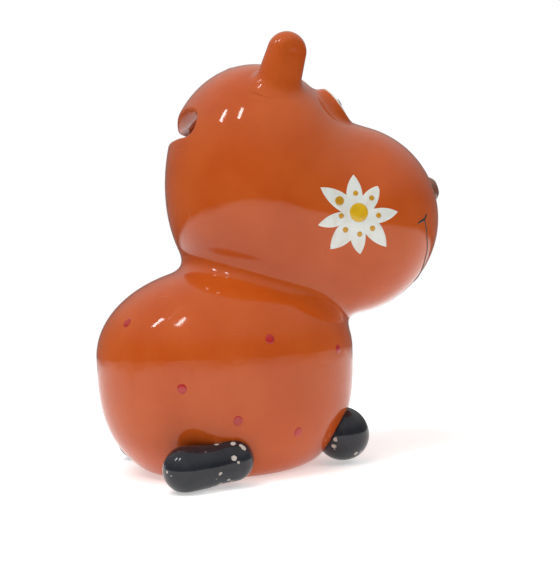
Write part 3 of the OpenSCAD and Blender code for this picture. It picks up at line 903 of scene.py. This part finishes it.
def surface_group():
    """Height and roughness of a fired gloss: long shallow waves, fine orange peel, hairline scratches and pinholes."""
    group, w, given, sink = new_group(
        "Fired gloss",
        [("Peel", "Float", 1.0), ("Scratch", "Float", 1.0), ("Polish", "Float", 0.08)],
        [("Height", "Float"), ("Roughness", "Float")])
    place = w.place()
    waves = w.noise(place, 55.0, 1.0, 0.4)
    peel = w.noise(place, 420.0, 2.0, 0.5)
    strokes = []
    for scale, turn in (((30.0, 900.0, 60.0), (0.4, 0.2, 0.9)), ((700.0, 40.0, 50.0), (0.1, 0.9, 0.3)),
                        ((60.0, 50.0, 820.0), (0.7, 0.1, 0.2))):
        lines = w.noise(w.place(scale=scale, turn=turn), 1.0, 1.0)
        strokes.append(w.ramp(lines, 0.715, 0.745))
    scratch = w.math("ADD", w.math("ADD", strokes[0], strokes[1]), strokes[2], clamp=True)
    scratch = w.math("MULTIPLY", scratch, given["Scratch"])
    pinhole = w.ramp(w.cells(w.place(shift=(0.2, 0.5, 0.1)), 230.0), 0.075, 0.03)
    height = w.math("ADD", w.math("MULTIPLY", waves, 0.9), w.math("MULTIPLY", w.math("MULTIPLY", peel, 0.10),
                                                                given["Peel"]))
    height = w.math("SUBTRACT", height, w.math("MULTIPLY", scratch, 0.03))
    height = w.math("SUBTRACT", height, w.math("MULTIPLY", pinhole, 0.16))
    haze = w.math("MULTIPLY", w.ramp(w.noise(place, 70.0, 3.0), 0.45, 0.75), 0.05)
    rough = w.math("ADD", w.math("ADD", given["Polish"], haze), w.math("MULTIPLY", scratch, 0.22))
    return finish_group(group, sink, {"Height": height, "Roughness": rough})


def chip_group():
    """Mask of chipped glaze: ragged flakes gathered in patches."""
    group, w, given, sink = new_group(
        "Chipped glaze", [("Scale", "Float", 330.0), ("Spread", "Float", 0.5), ("Shift", "Vector", (0, 0, 0))],
        [("Mask", "Float"), ("Edge", "Float")])
    coordinate = w.add("ShaderNodeTexCoord").outputs["Object"]
    place = w.add("ShaderNodeVectorMath", {0: coordinate, 1: given["Shift"]}, operation="ADD").outputs[0]
    ragged = w.math("ADD", w.cells(place, given["Scale"]), w.math("MULTIPLY", w.noise(place, 900.0, 3.0), 0.35))
    patch = w.ramp(w.noise(place, 75.0, 1.0), 0.50, 0.66)
    limit = w.math("MULTIPLY", patch, given["Spread"])
    mask = w.ramp(w.math("SUBTRACT", limit, ragged), -0.03, 0.03)
    edge = w.ramp(w.math("SUBTRACT", limit, ragged), -0.10, 0.0)
    return finish_group(group, sink, {"Mask": mask, "Edge": edge})


def grain_group():
    """Fired clay: sandy grain, darker grit and a worn, slightly dirty tone."""
    group, w, given, sink = new_group(
        "Clay grain", [("Clay", "Color", (0.5, 0.35, 0.25)), ("Dirt", "Float", 0.3)],
        [("Color", "Color"), ("Height", "Float")])
    place = w.place()
    sand = w.noise(place, 1100.0, 4.0, 0.7)
    grit = w.ramp(w.cells(place, 420.0), 0.22, 0.10)
    stain = w.math("MULTIPLY", w.ramp(w.noise(place, 60.0, 5.0, 0.6), 0.42, 0.70), given["Dirt"])
    colour = w.mix(w.math("MULTIPLY", sand, 0.35), given["Clay"], (0.30, 0.19, 0.12))
    colour = w.mix(w.math("MULTIPLY", grit, 0.45), colour, (0.14, 0.08, 0.05))
    colour = w.mix(stain, colour, (0.16, 0.11, 0.08))
    height = w.math("ADD", w.math("MULTIPLY", sand, 0.5), w.math("MULTIPLY", grit, 0.3))
    return finish_group(group, sink, {"Color": colour, "Height": height})


def brush_group():
    """Enamel laid on with a brush: faint streaks of thinner colour and tiny grains."""
    group, w, given, sink = new_group(
        "Brushed enamel", [("Paint", "Color", (0.6, 0.6, 0.6)), ("Under", "Color", (0.4, 0.3, 0.2)),
                           ("Streak", "Float", 0.3)],
        [("Color", "Color"), ("Height", "Float")])
    place = w.place()
    streak = w.noise(w.place(scale=(1.0, 1.0, 0.35), turn=(0.0, 0.5, 0.2)), 330.0, 3.0, 0.6, 0.8)
    share = w.math("MULTIPLY", w.ramp(streak, 0.40, 0.72), given["Streak"])
    colour = w.mix(share, given["Paint"], given["Under"])
    cloud = w.math("MULTIPLY", w.ramp(w.noise(place, 140.0, 2.0), 0.35, 0.7), 0.18)
    colour = w.mix(cloud, colour, (0.95, 0.95, 0.93), "SOFT_LIGHT")
    height = w.math("ADD", w.math("MULTIPLY", streak, 0.6), w.math("MULTIPLY", w.noise(place, 700.0, 2.0), 0.15))
    return finish_group(group, sink, {"Color": colour, "Height": height})


def node_group(maker, name):
    """The named group, made once."""
    return bpy.data.node_groups.get(name) or maker()


def new_material(name):
    """An empty material with its wiring, shader and output."""
    material = bpy.data.materials.new(name)
    material.use_nodes = True
    material.node_tree.nodes.clear()
    wiring = Wiring(material.node_tree)
    shader = wiring.add("ShaderNodeBsdfPrincipled")
    output = wiring.add("ShaderNodeOutputMaterial")
    material.node_tree.links.new(shader.outputs[0], output.inputs[0])
    return material, wiring, shader


def place_group(wiring, maker, name, inputs):
    return wiring.add("ShaderNodeGroup", node_tree=node_group(maker, name), inputs=inputs)


def raise_surface(wiring, shader, height, strength, distance):
    """Bumps the shader by a height."""
    bump = wiring.add("ShaderNodeBump", {"Strength": strength, "Distance": distance, "Height": height})
    wiring.tree.links.new(bump.outputs[0], shader.inputs["Normal"])


def glossy(shader, coat, coat_roughness, ior=1.5, specular=0.5):
    """The constants of a fired gloss, on the shader's own sockets."""
    shader.inputs["Coat Weight"].default_value = coat
    shader.inputs["Coat Roughness"].default_value = coat_roughness
    shader.inputs["IOR"].default_value = ior
    shader.inputs["Specular IOR Level"].default_value = specular


def orange_glaze(colours):
    """Thick orange gloss over red clay."""
    material, w, shader = new_material("Orange glaze")
    mottle = place_group(w, mottle_group, "Glaze mottle", {
        "Full": tuple(colours.orange), "Thin": tuple(colours.orange_thin), "Deep": tuple(colours.orange_deep),
        "Cloud scale": 38.0, "Speck amount": 0.8})
    gloss = place_group(w, surface_group, "Fired gloss", {"Peel": 0.8, "Scratch": 0.8, "Polish": 0.07})
    w.tree.links.new(mottle.outputs["Color"], shader.inputs["Base Color"])
    w.tree.links.new(gloss.outputs["Roughness"], shader.inputs["Roughness"])
    raise_surface(w, shader, gloss.outputs["Height"], 0.25, 0.0009)
    glossy(shader, 0.05, 0.02, 1.5, 0.36)
    return material


def bare_clay(colours):
    """Unglazed fired clay, for the foot ring, its recess and its hole."""
    material, w, shader = new_material("Bare clay")
    grain = place_group(w, grain_group, "Clay grain", {"Clay": tuple(colours.clay), "Dirt": 0.45})
    w.tree.links.new(grain.outputs["Color"], shader.inputs["Base Color"])
    shader.inputs["Roughness"].default_value = 0.85
    raise_surface(w, shader, grain.outputs["Height"], 0.6, 0.0003)
    return material


def black_glaze(colours):
    """Black gloss with small chips that show pale clay, and a thin dark edge around them."""
    material, w, shader = new_material("Black glaze")
    gloss = place_group(w, surface_group, "Fired gloss", {"Peel": 1.3, "Scratch": 1.0, "Polish": 0.10})
    chips = place_group(w, chip_group, "Chipped glaze", {"Scale": 400.0, "Spread": 0.52,
                                                         "Shift": (0.031, 0.032, 0.043)})
    grain = place_group(w, grain_group, "Clay grain", {"Clay": (0.50, 0.47, 0.43), "Dirt": 0.15})
    mottle = place_group(w, mottle_group, "Glaze mottle", {
        "Full": tuple(colours.black), "Thin": tuple(c * 1.9 + 0.004 for c in colours.black),
        "Deep": tuple(c * 0.5 for c in colours.black), "Cloud scale": 90.0, "Speck amount": 0.0})
    colour = w.mix(chips.outputs["Mask"], mottle.outputs["Color"], grain.outputs["Color"])
    rough = w.math("ADD", gloss.outputs["Roughness"], w.math("MULTIPLY", chips.outputs["Mask"], 0.6))
    height = w.math("SUBTRACT", gloss.outputs["Height"], w.math("MULTIPLY", chips.outputs["Edge"], 0.25))
    w.tree.links.new(colour, shader.inputs["Base Color"])
    w.tree.links.new(rough, shader.inputs["Roughness"])
    raise_surface(w, shader, height, 0.35, 0.0009)
    glossy(shader, 0.05, 0.03, 1.5, 0.4)
    return material


def enamel(name, paint, under, streak, polish, strength=0.2):
    """A painted enamel: streaked colour over what lies below it, under a soft gloss."""
    material, w, shader = new_material(name)
    brush = place_group(w, brush_group, "Brushed enamel", {"Paint": paint, "Under": under, "Streak": streak})
    gloss = place_group(w, surface_group, "Fired gloss", {"Peel": 1.5, "Scratch": 0.5, "Polish": polish})
    w.tree.links.new(brush.outputs["Color"], shader.inputs["Base Color"])
    w.tree.links.new(gloss.outputs["Roughness"], shader.inputs["Roughness"])
    height = w.math("ADD", gloss.outputs["Height"], w.math("MULTIPLY", brush.outputs["Height"], 0.3))
    raise_surface(w, shader, height, strength, 0.0006)
    glossy(shader, 0.2, 0.05)
    return material


def soft_rubber(colours):
    """Moulded rubber: matt, finely textured, with pale dust and worn patches."""
    material, w, shader = new_material("Stopper rubber")
    place = w.place()
    fine = w.noise(place, 1500.0, 3.0, 0.6)
    dust = w.ramp(w.noise(place, 160.0, 5.0, 0.65), 0.48, 0.78)
    rings = w.add("ShaderNodeTexWave", {"Vector": w.place(shift=(0, -0.0167, 0)), "Scale": 260.0, "Distortion": 0.3},
                  wave_type="RINGS", rings_direction="Z").outputs[1]
    colour = w.mix(w.math("MULTIPLY", dust, 0.35), tuple(colours.rubber), (0.16, 0.14, 0.12))
    w.tree.links.new(colour, shader.inputs["Base Color"])
    w.tree.links.new(w.math("ADD", 0.55, w.math("MULTIPLY", dust, 0.25)), shader.inputs["Roughness"])
    raise_surface(w, shader, w.math("ADD", w.math("MULTIPLY", fine, 0.4), w.math("MULTIPLY", rings, 0.5)), 0.3, 0.0002)
    return material


def finish_named(name):
    """The material of that name, made once from the colours in the panel."""
    found = bpy.data.materials.get(name)
    if found:
        return found
    colours = bpy.context.scene.hippo_colours
    orange = tuple(colours.orange)
    makers = {
        "Orange glaze": lambda: orange_glaze(colours),
        "Bare clay": lambda: bare_clay(colours),
        "Black glaze": lambda: black_glaze(colours),
        "Stopper rubber": lambda: soft_rubber(colours),
        "Petal enamel": lambda: enamel(name, tuple(colours.petal), (0.58, 0.47, 0.38), 0.35, 0.16),
        "Yellow enamel": lambda: enamel(name, tuple(colours.yellow), tuple(colours.ochre), 0.5, 0.14),
        "Ochre enamel": lambda: enamel(name, tuple(colours.ochre), (0.30, 0.12, 0.01), 0.4, 0.14),
        "Red enamel": lambda: enamel(name, tuple(colours.red), (0.42, 0.03, 0.015), 0.4, 0.12),
        "Brown glaze": lambda: enamel(name, tuple(colours.brown), orange, 0.45, 0.12),
        "Eye enamel": lambda: enamel(name, tuple(colours.cream), (0.52, 0.50, 0.45), 0.3, 0.12),
        "Black enamel": lambda: enamel(name, (0.012, 0.011, 0.011), (0.05, 0.03, 0.025), 0.3, 0.10),
    }
    return makers[name]()


# ---------------------------------------------------------------- operators

def clay_form():
    """The figure worked out from the sizes in the panel."""
    return derive(bpy.context.scene.hippo_clay)


def both_sides(name, build, material, replaced=None):
    """Builds a piece for the animal's right and mirrors it for its left."""
    points, quads, triangles, normals = build
    for side in ("right", "left"):
        if side == "left":
            points, normals = mirrored(points, normals)
        piece = new_piece(name + "_" + side, points, quads, triangles, finish_named(material), normals)
        if replaced:
            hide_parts(replaced + "_" + side)


class HIPPO_OT_stage(Operator):
    """Set up the floor, the soft studio light and the camera"""
    bl_idname = "hippo.stage"
    bl_label = "Stage"

    def execute(self, context):
        studio = context.scene.hippo_studio
        scene = context.scene
        scene.view_settings.view_transform = "Standard"
        scene.view_settings.look = "None"
        make_floor(studio)
        make_world(scene)
        make_lights(scene)
        make_camera(scene, studio)
        return {"FINISHED"}


def make_floor(studio):
    """A square floor that glows a little, so that it reads as a pale sheet in bright light, and fades out unevenly."""
    half = studio.floor_size / 2
    mesh = bpy.data.meshes.new("studio_floor")
    mesh.from_pydata([(-half, -half, 0), (half, -half, 0), (half, half, 0), (-half, half, 0)], [], [(0, 1, 2, 3)])
    material, w, shader = new_material("Studio floor")
    tone = w.ramp(w.noise(w.place(), 6.0, 3.0), 0.2, 0.8, 0.86, 0.90)
    colour = w.add("ShaderNodeCombineColor", {0: tone, 1: tone, 2: tone}).outputs[0]
    w.tree.links.new(colour, shader.inputs["Base Color"])
    shader.inputs["Roughness"].default_value = 0.9
    shader.inputs["Specular IOR Level"].default_value = 0.1
    place = w.add("ShaderNodeTexCoord").outputs["Object"]
    away = w.add("ShaderNodeVectorMath", {0: place}, operation="LENGTH").outputs["Value"]
    ragged = w.math("MULTIPLY", w.math("SUBTRACT", w.noise(place, 4.0, 2.0), 0.5), 0.35)
    fade = w.ramp(w.math("ADD", away, ragged), 0.60, 0.34)
    w.tree.links.new(fade, shader.inputs["Alpha"])
    shader.inputs["Emission Color"].default_value = (1.0, 1.0, 1.0, 1.0)
    shader.inputs["Emission Strength"].default_value = 0.45
    mesh.materials.append(material)
    floor = bpy.data.objects.new("studio_floor", mesh)
    bpy.context.scene.collection.objects.link(floor)


def make_world(scene):
    """A room around the figure: a dim band at eye height, a bright ceiling, and plain white behind it."""
    world = bpy.data.worlds.new("Studio")
    scene.world = world
    world.use_nodes = True
    world.node_tree.nodes.clear()
    w = Wiring(world.node_tree)
    direction = w.add("ShaderNodeTexCoord").outputs["Generated"]
    height = w.add("ShaderNodeSeparateXYZ", {0: direction}).outputs[2]
    uneven = w.math("MULTIPLY", w.math("SUBTRACT", w.noise(direction, 2.2, 2.0), 0.5), 0.16)
    height = w.math("ADD", height, uneven)
    band = w.ramp(height, -0.14, -0.02, 0.12, 0.19)
    ceiling = w.ramp(height, 0.15, 0.75, 0.0, 0.50)
    level = w.math("ADD", band, ceiling)
    seen = w.add("ShaderNodeLightPath").outputs["Is Camera Ray"]
    room = w.add("ShaderNodeBackground", {"Color": (1.0, 0.985, 0.97), "Strength": level})
    plain = w.add("ShaderNodeBackground", {"Color": (1.0, 1.0, 1.0), "Strength": 1.0})
    mixed = w.add("ShaderNodeMixShader", {0: seen, 1: room.outputs[0], 2: plain.outputs[0]})
    w.add("ShaderNodeOutputWorld", {0: mixed.outputs[0]})


def make_lights(scene):
    """Softboxes: name, azimuth and height of the place, distance, width, height, strength, and whether they glint."""
    boxes = (("key_box", -150, 62, 0.9, 0.55, 0.55, 3.8, False), ("front_box", -60, 40, 1.2, 0.5, 0.5, 2.0, False),
             ("back_strip", -178, 46, 1.1, 0.06, 0.22, 1.0, True), ("side_strip", -150, 52, 1.1, 0.06, 0.22, 1.0, True))
    target = Vector((0.0, 0.0, 0.07))
    for name, azimuth, height, distance, wide, tall, power, glints in boxes:
        lamp = bpy.data.lights.new(name, "AREA")
        lamp.shape = "RECTANGLE"
        lamp.size, lamp.size_y = wide, tall
        lamp.energy = power
        a, e = np.radians(azimuth), np.radians(height)
        away = Vector((np.sin(a) * np.cos(e), -np.cos(a) * np.cos(e), np.sin(e)))
        light = bpy.data.objects.new(name, lamp)
        light.location = target + away * distance
        light.rotation_euler = away.to_track_quat("Z", "Y").to_euler()
        light.visible_camera = False
        light.visible_glossy = glints
        scene.collection.objects.link(light)


def make_camera(scene, studio):
    """A level camera at the asked azimuth and distance, rolled about its own axis."""
    data = bpy.data.cameras.new("camera")
    data.sensor_fit = "HORIZONTAL"
    data.sensor_width = 36.0
    data.lens = studio.lens
    data.shift_x = studio.shift_x
    data.clip_start = 0.01
    data.clip_end = 20.0
    back = Vector((np.sin(studio.azimuth), -np.cos(studio.azimuth), 0.0))
    across = Vector((0.0, 0.0, 1.0)).cross(back)
    up = back.cross(across)
    c, s = np.cos(studio.roll), np.sin(studio.roll)
    x_axis, y_axis = across * c + up * s, up * c - across * s
    turn = Matrix((x_axis, y_axis, back)).transposed().to_4x4()
    camera = bpy.data.objects.new("camera", data)
    place = Vector((0.0, studio.aim_y, studio.aim_height)) + back * studio.distance
    camera.matrix_world = Matrix.Translation(place) @ turn
    scene.collection.objects.link(camera)
    scene.camera = camera


class HIPPO_OT_head(Operator):
    """Throw the hollow head with its coin slot"""
    bl_idname = "hippo.head"
    bl_label = "Head shell"

    def execute(self, context):
        f = clay_form()
        columns = context.scene.hippo_features.grid
        points, quads, triangles = head_arrays(f, columns, int(columns * 0.56), 30)
        normals = field_normals(lambda p: clay(f, p), points)
        piece = new_piece("head_shell_glaze", points, quads, triangles, finish_named("Orange glaze"), normals)
        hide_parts("head_shell")
        return {"FINISHED"}


class HIPPO_OT_body(Operator):
    """Throw the hollow body with the opening in its foot"""
    bl_idname = "hippo.body"
    bl_label = "Body shell"

    def execute(self, context):
        f = clay_form()
        columns = context.scene.hippo_features.grid
        rows = int(columns * 0.7)
        points, quads, triangles = body_arrays(f, columns, rows)
        normals = field_normals(lambda p: clay(f, p), points)
        piece = new_piece("body_shell_glaze", points, quads, triangles, finish_named("Orange glaze"), normals)
        paint_bare_foot(piece, f)
        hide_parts("body_shell")
        return {"FINISHED"}


def paint_bare_foot(piece, f):
    """Gives the ground face, the recess and the hole the bare clay."""
    mesh = piece.data
    mesh.materials.append(finish_named("Bare clay"))
    count = len(mesh.polygons)
    centre = np.empty(count * 3, np.float32)
    mesh.polygons.foreach_get("center", centre)
    centre = centre.reshape(-1, 3)
    radius = np.hypot(centre[:, 0], centre[:, 1] - f.body_y)
    bare = (centre[:, 2] < 0.15 * MM) | ((radius < f.recess_r + 0.1 * MM) & (centre[:, 2] < f.floor_t + 0.5 * MM))
    mesh.polygons.foreach_set("material_index", bare.astype(np.int32))
    mesh.update()


class HIPPO_OT_ears(Operator):
    """Add the two dished ears"""
    bl_idname = "hippo.ears"
    bl_label = "Ears"

    def execute(self, context):
        f = clay_form()
        features = context.scene.hippo_features
        root, axis = ear_field(f, features, f.skull)[1:3]
        origin = root - 4.0 * MM * axis
        build = lump_patch(lambda p: ear_field(f, features, p)[0], origin, axis, np.radians(66), 150, 160, 0.8,
                           0.04 * MM)
        both_sides("ear_clay", build, "Orange glaze", "ear")
        return {"FINISHED"}


class HIPPO_OT_eyes(Operator):
    """Add the eye mounds, their enamel faces and their pupils"""
    bl_idname = "hippo.eyes"
    bl_label = "Eyes"

    def execute(self, context):
        f = clay_form()
        features = context.scene.hippo_features
        face, turn = eye_place(f, features)
        axis = turn @ UP
        origin = face - 9.0 * MM * axis
        build = lump_patch(lambda p: eye_mound(f, features, p), origin, axis, np.radians(72), 110, 140, 0.85,
                           0.04 * MM)
        both_sides("eye_clay", build, "Orange glaze", "eye")
        build = whole_lump(lambda p: eye_enamel(f, features, p), face - 0.6 * MM * axis, axis, 90, 120)
        keep = build[0] - face
        depth = keep @ axis
        points = build[0] + np.maximum(-0.9 * MM - depth, 0)[:, None] * axis
        both_sides("eye_enamel", (points, build[1], build[2], None), "Eye enamel")
        ball_r = features.eyeball_d / 2
        middle = face + (1.6 * MM - ball_r) * axis
        gaze = unit(axis + np.array([0.0, -0.25, -0.1]))
        pupil = lump_patch(lambda p: np.sqrt(((p - middle) ** 2).sum(-1)) - ball_r - 0.12 * MM, middle, gaze,
                           np.radians(30), 14, 60, 0.9, 0.2 * MM)
        both_sides("pupil_enamel", (pupil[0], pupil[1], pupil[2], None), "Black enamel")
        return {"FINISHED"}


class HIPPO_OT_nostrils(Operator):
    """Add the two nostril bumps with their dimples"""
    bl_idname = "hippo.nostrils"
    bl_label = "Nostrils"

    def execute(self, context):
        f = clay_form()
        features = context.scene.hippo_features
        sink, dimple_r, dimple_out, dimple_round = 2.5 * MM, 2.6 * MM, 1.7 * MM, 0.8 * MM
        away = heading(features.nostril_swing, features.nostril_rise)
        middle = f.muzzle + (float(reach_along(lambda p: figure(f, p), f.muzzle, away)) - sink) * away
        radius = features.nostril_d / 2

        def bump(points):
            ball = np.sqrt(((points - middle) ** 2).sum(-1)) - radius * 0.995
            dimple = dimple_r - np.sqrt(((points - middle - away * (radius + dimple_out)) ** 2).sum(-1))
            return soft_max(ball, dimple, dimple_round)

        build = whole_lump(bump, middle - 1.0 * MM * away, away, 80, 96)
        both_sides("nostril_glaze", build, "Brown glaze", "nostril")
        return {"FINISHED"}


class HIPPO_OT_feet(Operator):
    """Add the bean-shaped hind feet and the round front paws"""
    bl_idname = "hippo.feet"
    bl_label = "Feet"

    def execute(self, context):
        f = clay_form()
        for name, shape, node in (("hind_foot_glaze", hind_foot, "foot_hind"),
                                  ("front_paw_glaze", front_paw, "foot_front")):
            middle = shape(f.skull)[1]
            build = whole_lump(lambda p: shape(p)[0], middle, unit(np.array([-1.0, 0.0, 0.0])), 120, 160)
            both_sides(name, build, "Black glaze", node)
        return {"FINISHED"}


class HIPPO_OT_marks(Operator):
    """Paint the flower, the dots and the smile"""
    bl_idname = "hippo.marks"
    bl_label = "Painted marks"

    def execute(self, context):
        f = clay_form()
        relief = context.scene.hippo_features.relief
        aim = heading(np.radians(105.5), np.radians(-0.1))
        centre = f.muzzle + float(reach_along(lambda p: figure(f, p), f.muzzle, aim)) * aim
        studio = context.scene.hippo_studio
        away = np.array([np.sin(studio.azimuth), -np.cos(studio.azimuth), 0.0])
        across = np.cross(UP, away)
        across = np.cos(studio.roll) * across + np.sin(studio.roll) * UP
        outline = lambda t: petal_outline(t) * MM
        flower = mark_mesh(f, [(centre, away, across, 1.0, (1, 1))], 60, 720, relief, outline)
        piece = new_piece("flower_petals", *flower, finish_named("Petal enamel"))
        upward = np.cross(away, across)
        middle = mark_mesh(f, [(centre, away, across, 2.96 * MM, (1, 1))], 24, 96, relief * 1.6, None, relief)
        piece = new_piece("flower_middle", *middle, finish_named("Yellow enamel"))
        spots = []
        for direction, distance, radius in PETAL_DOTS:
            d = np.radians(direction)
            at = centre + distance * MM * (np.cos(d) * across + np.sin(d) * upward)
            spots.append((at, away, across, radius * MM, (1, 1)))
        dots = mark_mesh(f, spots, 12, 40, relief * 0.9, None, relief * 0.9)
        piece = new_piece("petal_dots", *dots, finish_named("Ochre enamel"))
        spots = [spot(f, f.body_centre, swing, rise, 1.42 * MM, (1.0, 1.06)) for swing, rise in RED_DOTS]
        piece = new_piece("red_dots", *mark_mesh(f, spots, 12, 48, relief), finish_named("Red enamel"))
        half = [(63.4, -4.2), (60.7, -9), (58.7, -13), (55.5, -17.5), (52.3, -21.9), (50.5, -25.6), (43, -33.5),
                (30, -41), (15, -45.5)]
        path = half + [(0, -47)] + [(-swing, rise) for swing, rise in half[::-1]]
        widths = np.full(len(path), 0.2 * MM)
        piece = new_piece("smile_line", *brush_line(f, path, widths, relief), finish_named("Black enamel"))
        for side, sign in (("right", 1), ("left", -1)):
            tick = [(sign * 69.2, -6.0), (sign * 66, -4.7), (sign * 63.3, -3.6), (sign * 61.4, -1.2)]
            wide = np.array([0.25, 0.38, 0.38, 0.28]) * MM
            piece = new_piece("smile_tick_" + side, *brush_line(f, tick, wide, relief), finish_named("Black enamel"))
        return {"FINISHED"}


class HIPPO_OT_stopper(Operator):
    """Finish the rubber stopper"""
    bl_idname = "hippo.stopper"
    bl_label = "Stopper"

    def execute(self, context):
        node = bpy.data.objects.get("stopper")
        if node is None:
            raise RuntimeError("the frame has no stopper")
        rubber = finish_named("Stopper rubber")
        for slot in node.material_slots:
            slot.material = rubber
        if not node.material_slots:
            node.data.materials.append(rubber)
        return {"FINISHED"}


class HIPPO_PT_panel(Panel):
    """Sizes, colours and makers of the hippo bank"""
    bl_idname = "HIPPO_PT_panel"
    bl_label = "Hippo bank"
    bl_space_type = "VIEW_3D"
    bl_region_type = "UI"
    bl_category = "Hippo bank"

    def draw(self, context):
        layout = self.layout
        for operator in OPERATORS:
            layout.operator(operator.bl_idname)
        for group, kind in SETTINGS.items():
            box = layout.box()
            for name in kind.__annotations__:
                box.prop(getattr(context.scene, group), name)


SETTINGS = {"hippo_clay": HippoClaySizes, "hippo_features": HippoFeatureSizes, "hippo_colours": HippoGlazeColours,
            "hippo_studio": HippoStudio}
OPERATORS = (HIPPO_OT_stage, HIPPO_OT_head, HIPPO_OT_body, HIPPO_OT_ears, HIPPO_OT_eyes, HIPPO_OT_nostrils,
             HIPPO_OT_feet, HIPPO_OT_marks, HIPPO_OT_stopper)


def register():
    for item in (*SETTINGS.values(), *OPERATORS, HIPPO_PT_panel):
        bpy.utils.register_class(item)
    for group, kind in SETTINGS.items():
        setattr(bpy.types.Scene, group, PointerProperty(type=kind))


def unregister():
    for group in SETTINGS:
        delattr(bpy.types.Scene, group)
    for item in reversed((*SETTINGS.values(), *OPERATORS, HIPPO_PT_panel)):
        bpy.utils.unregister_class(item)


def main():
    """Registers the add-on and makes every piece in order."""
    register()
    bpy.ops.hippo.stage()
    bpy.ops.hippo.head()
    bpy.ops.hippo.body()
    bpy.ops.hippo.ears()
    bpy.ops.hippo.eyes()
    bpy.ops.hippo.nostrils()
    bpy.ops.hippo.feet()
    bpy.ops.hippo.marks()
    bpy.ops.hippo.stopper()


if __name__ == "__main__":
    main()
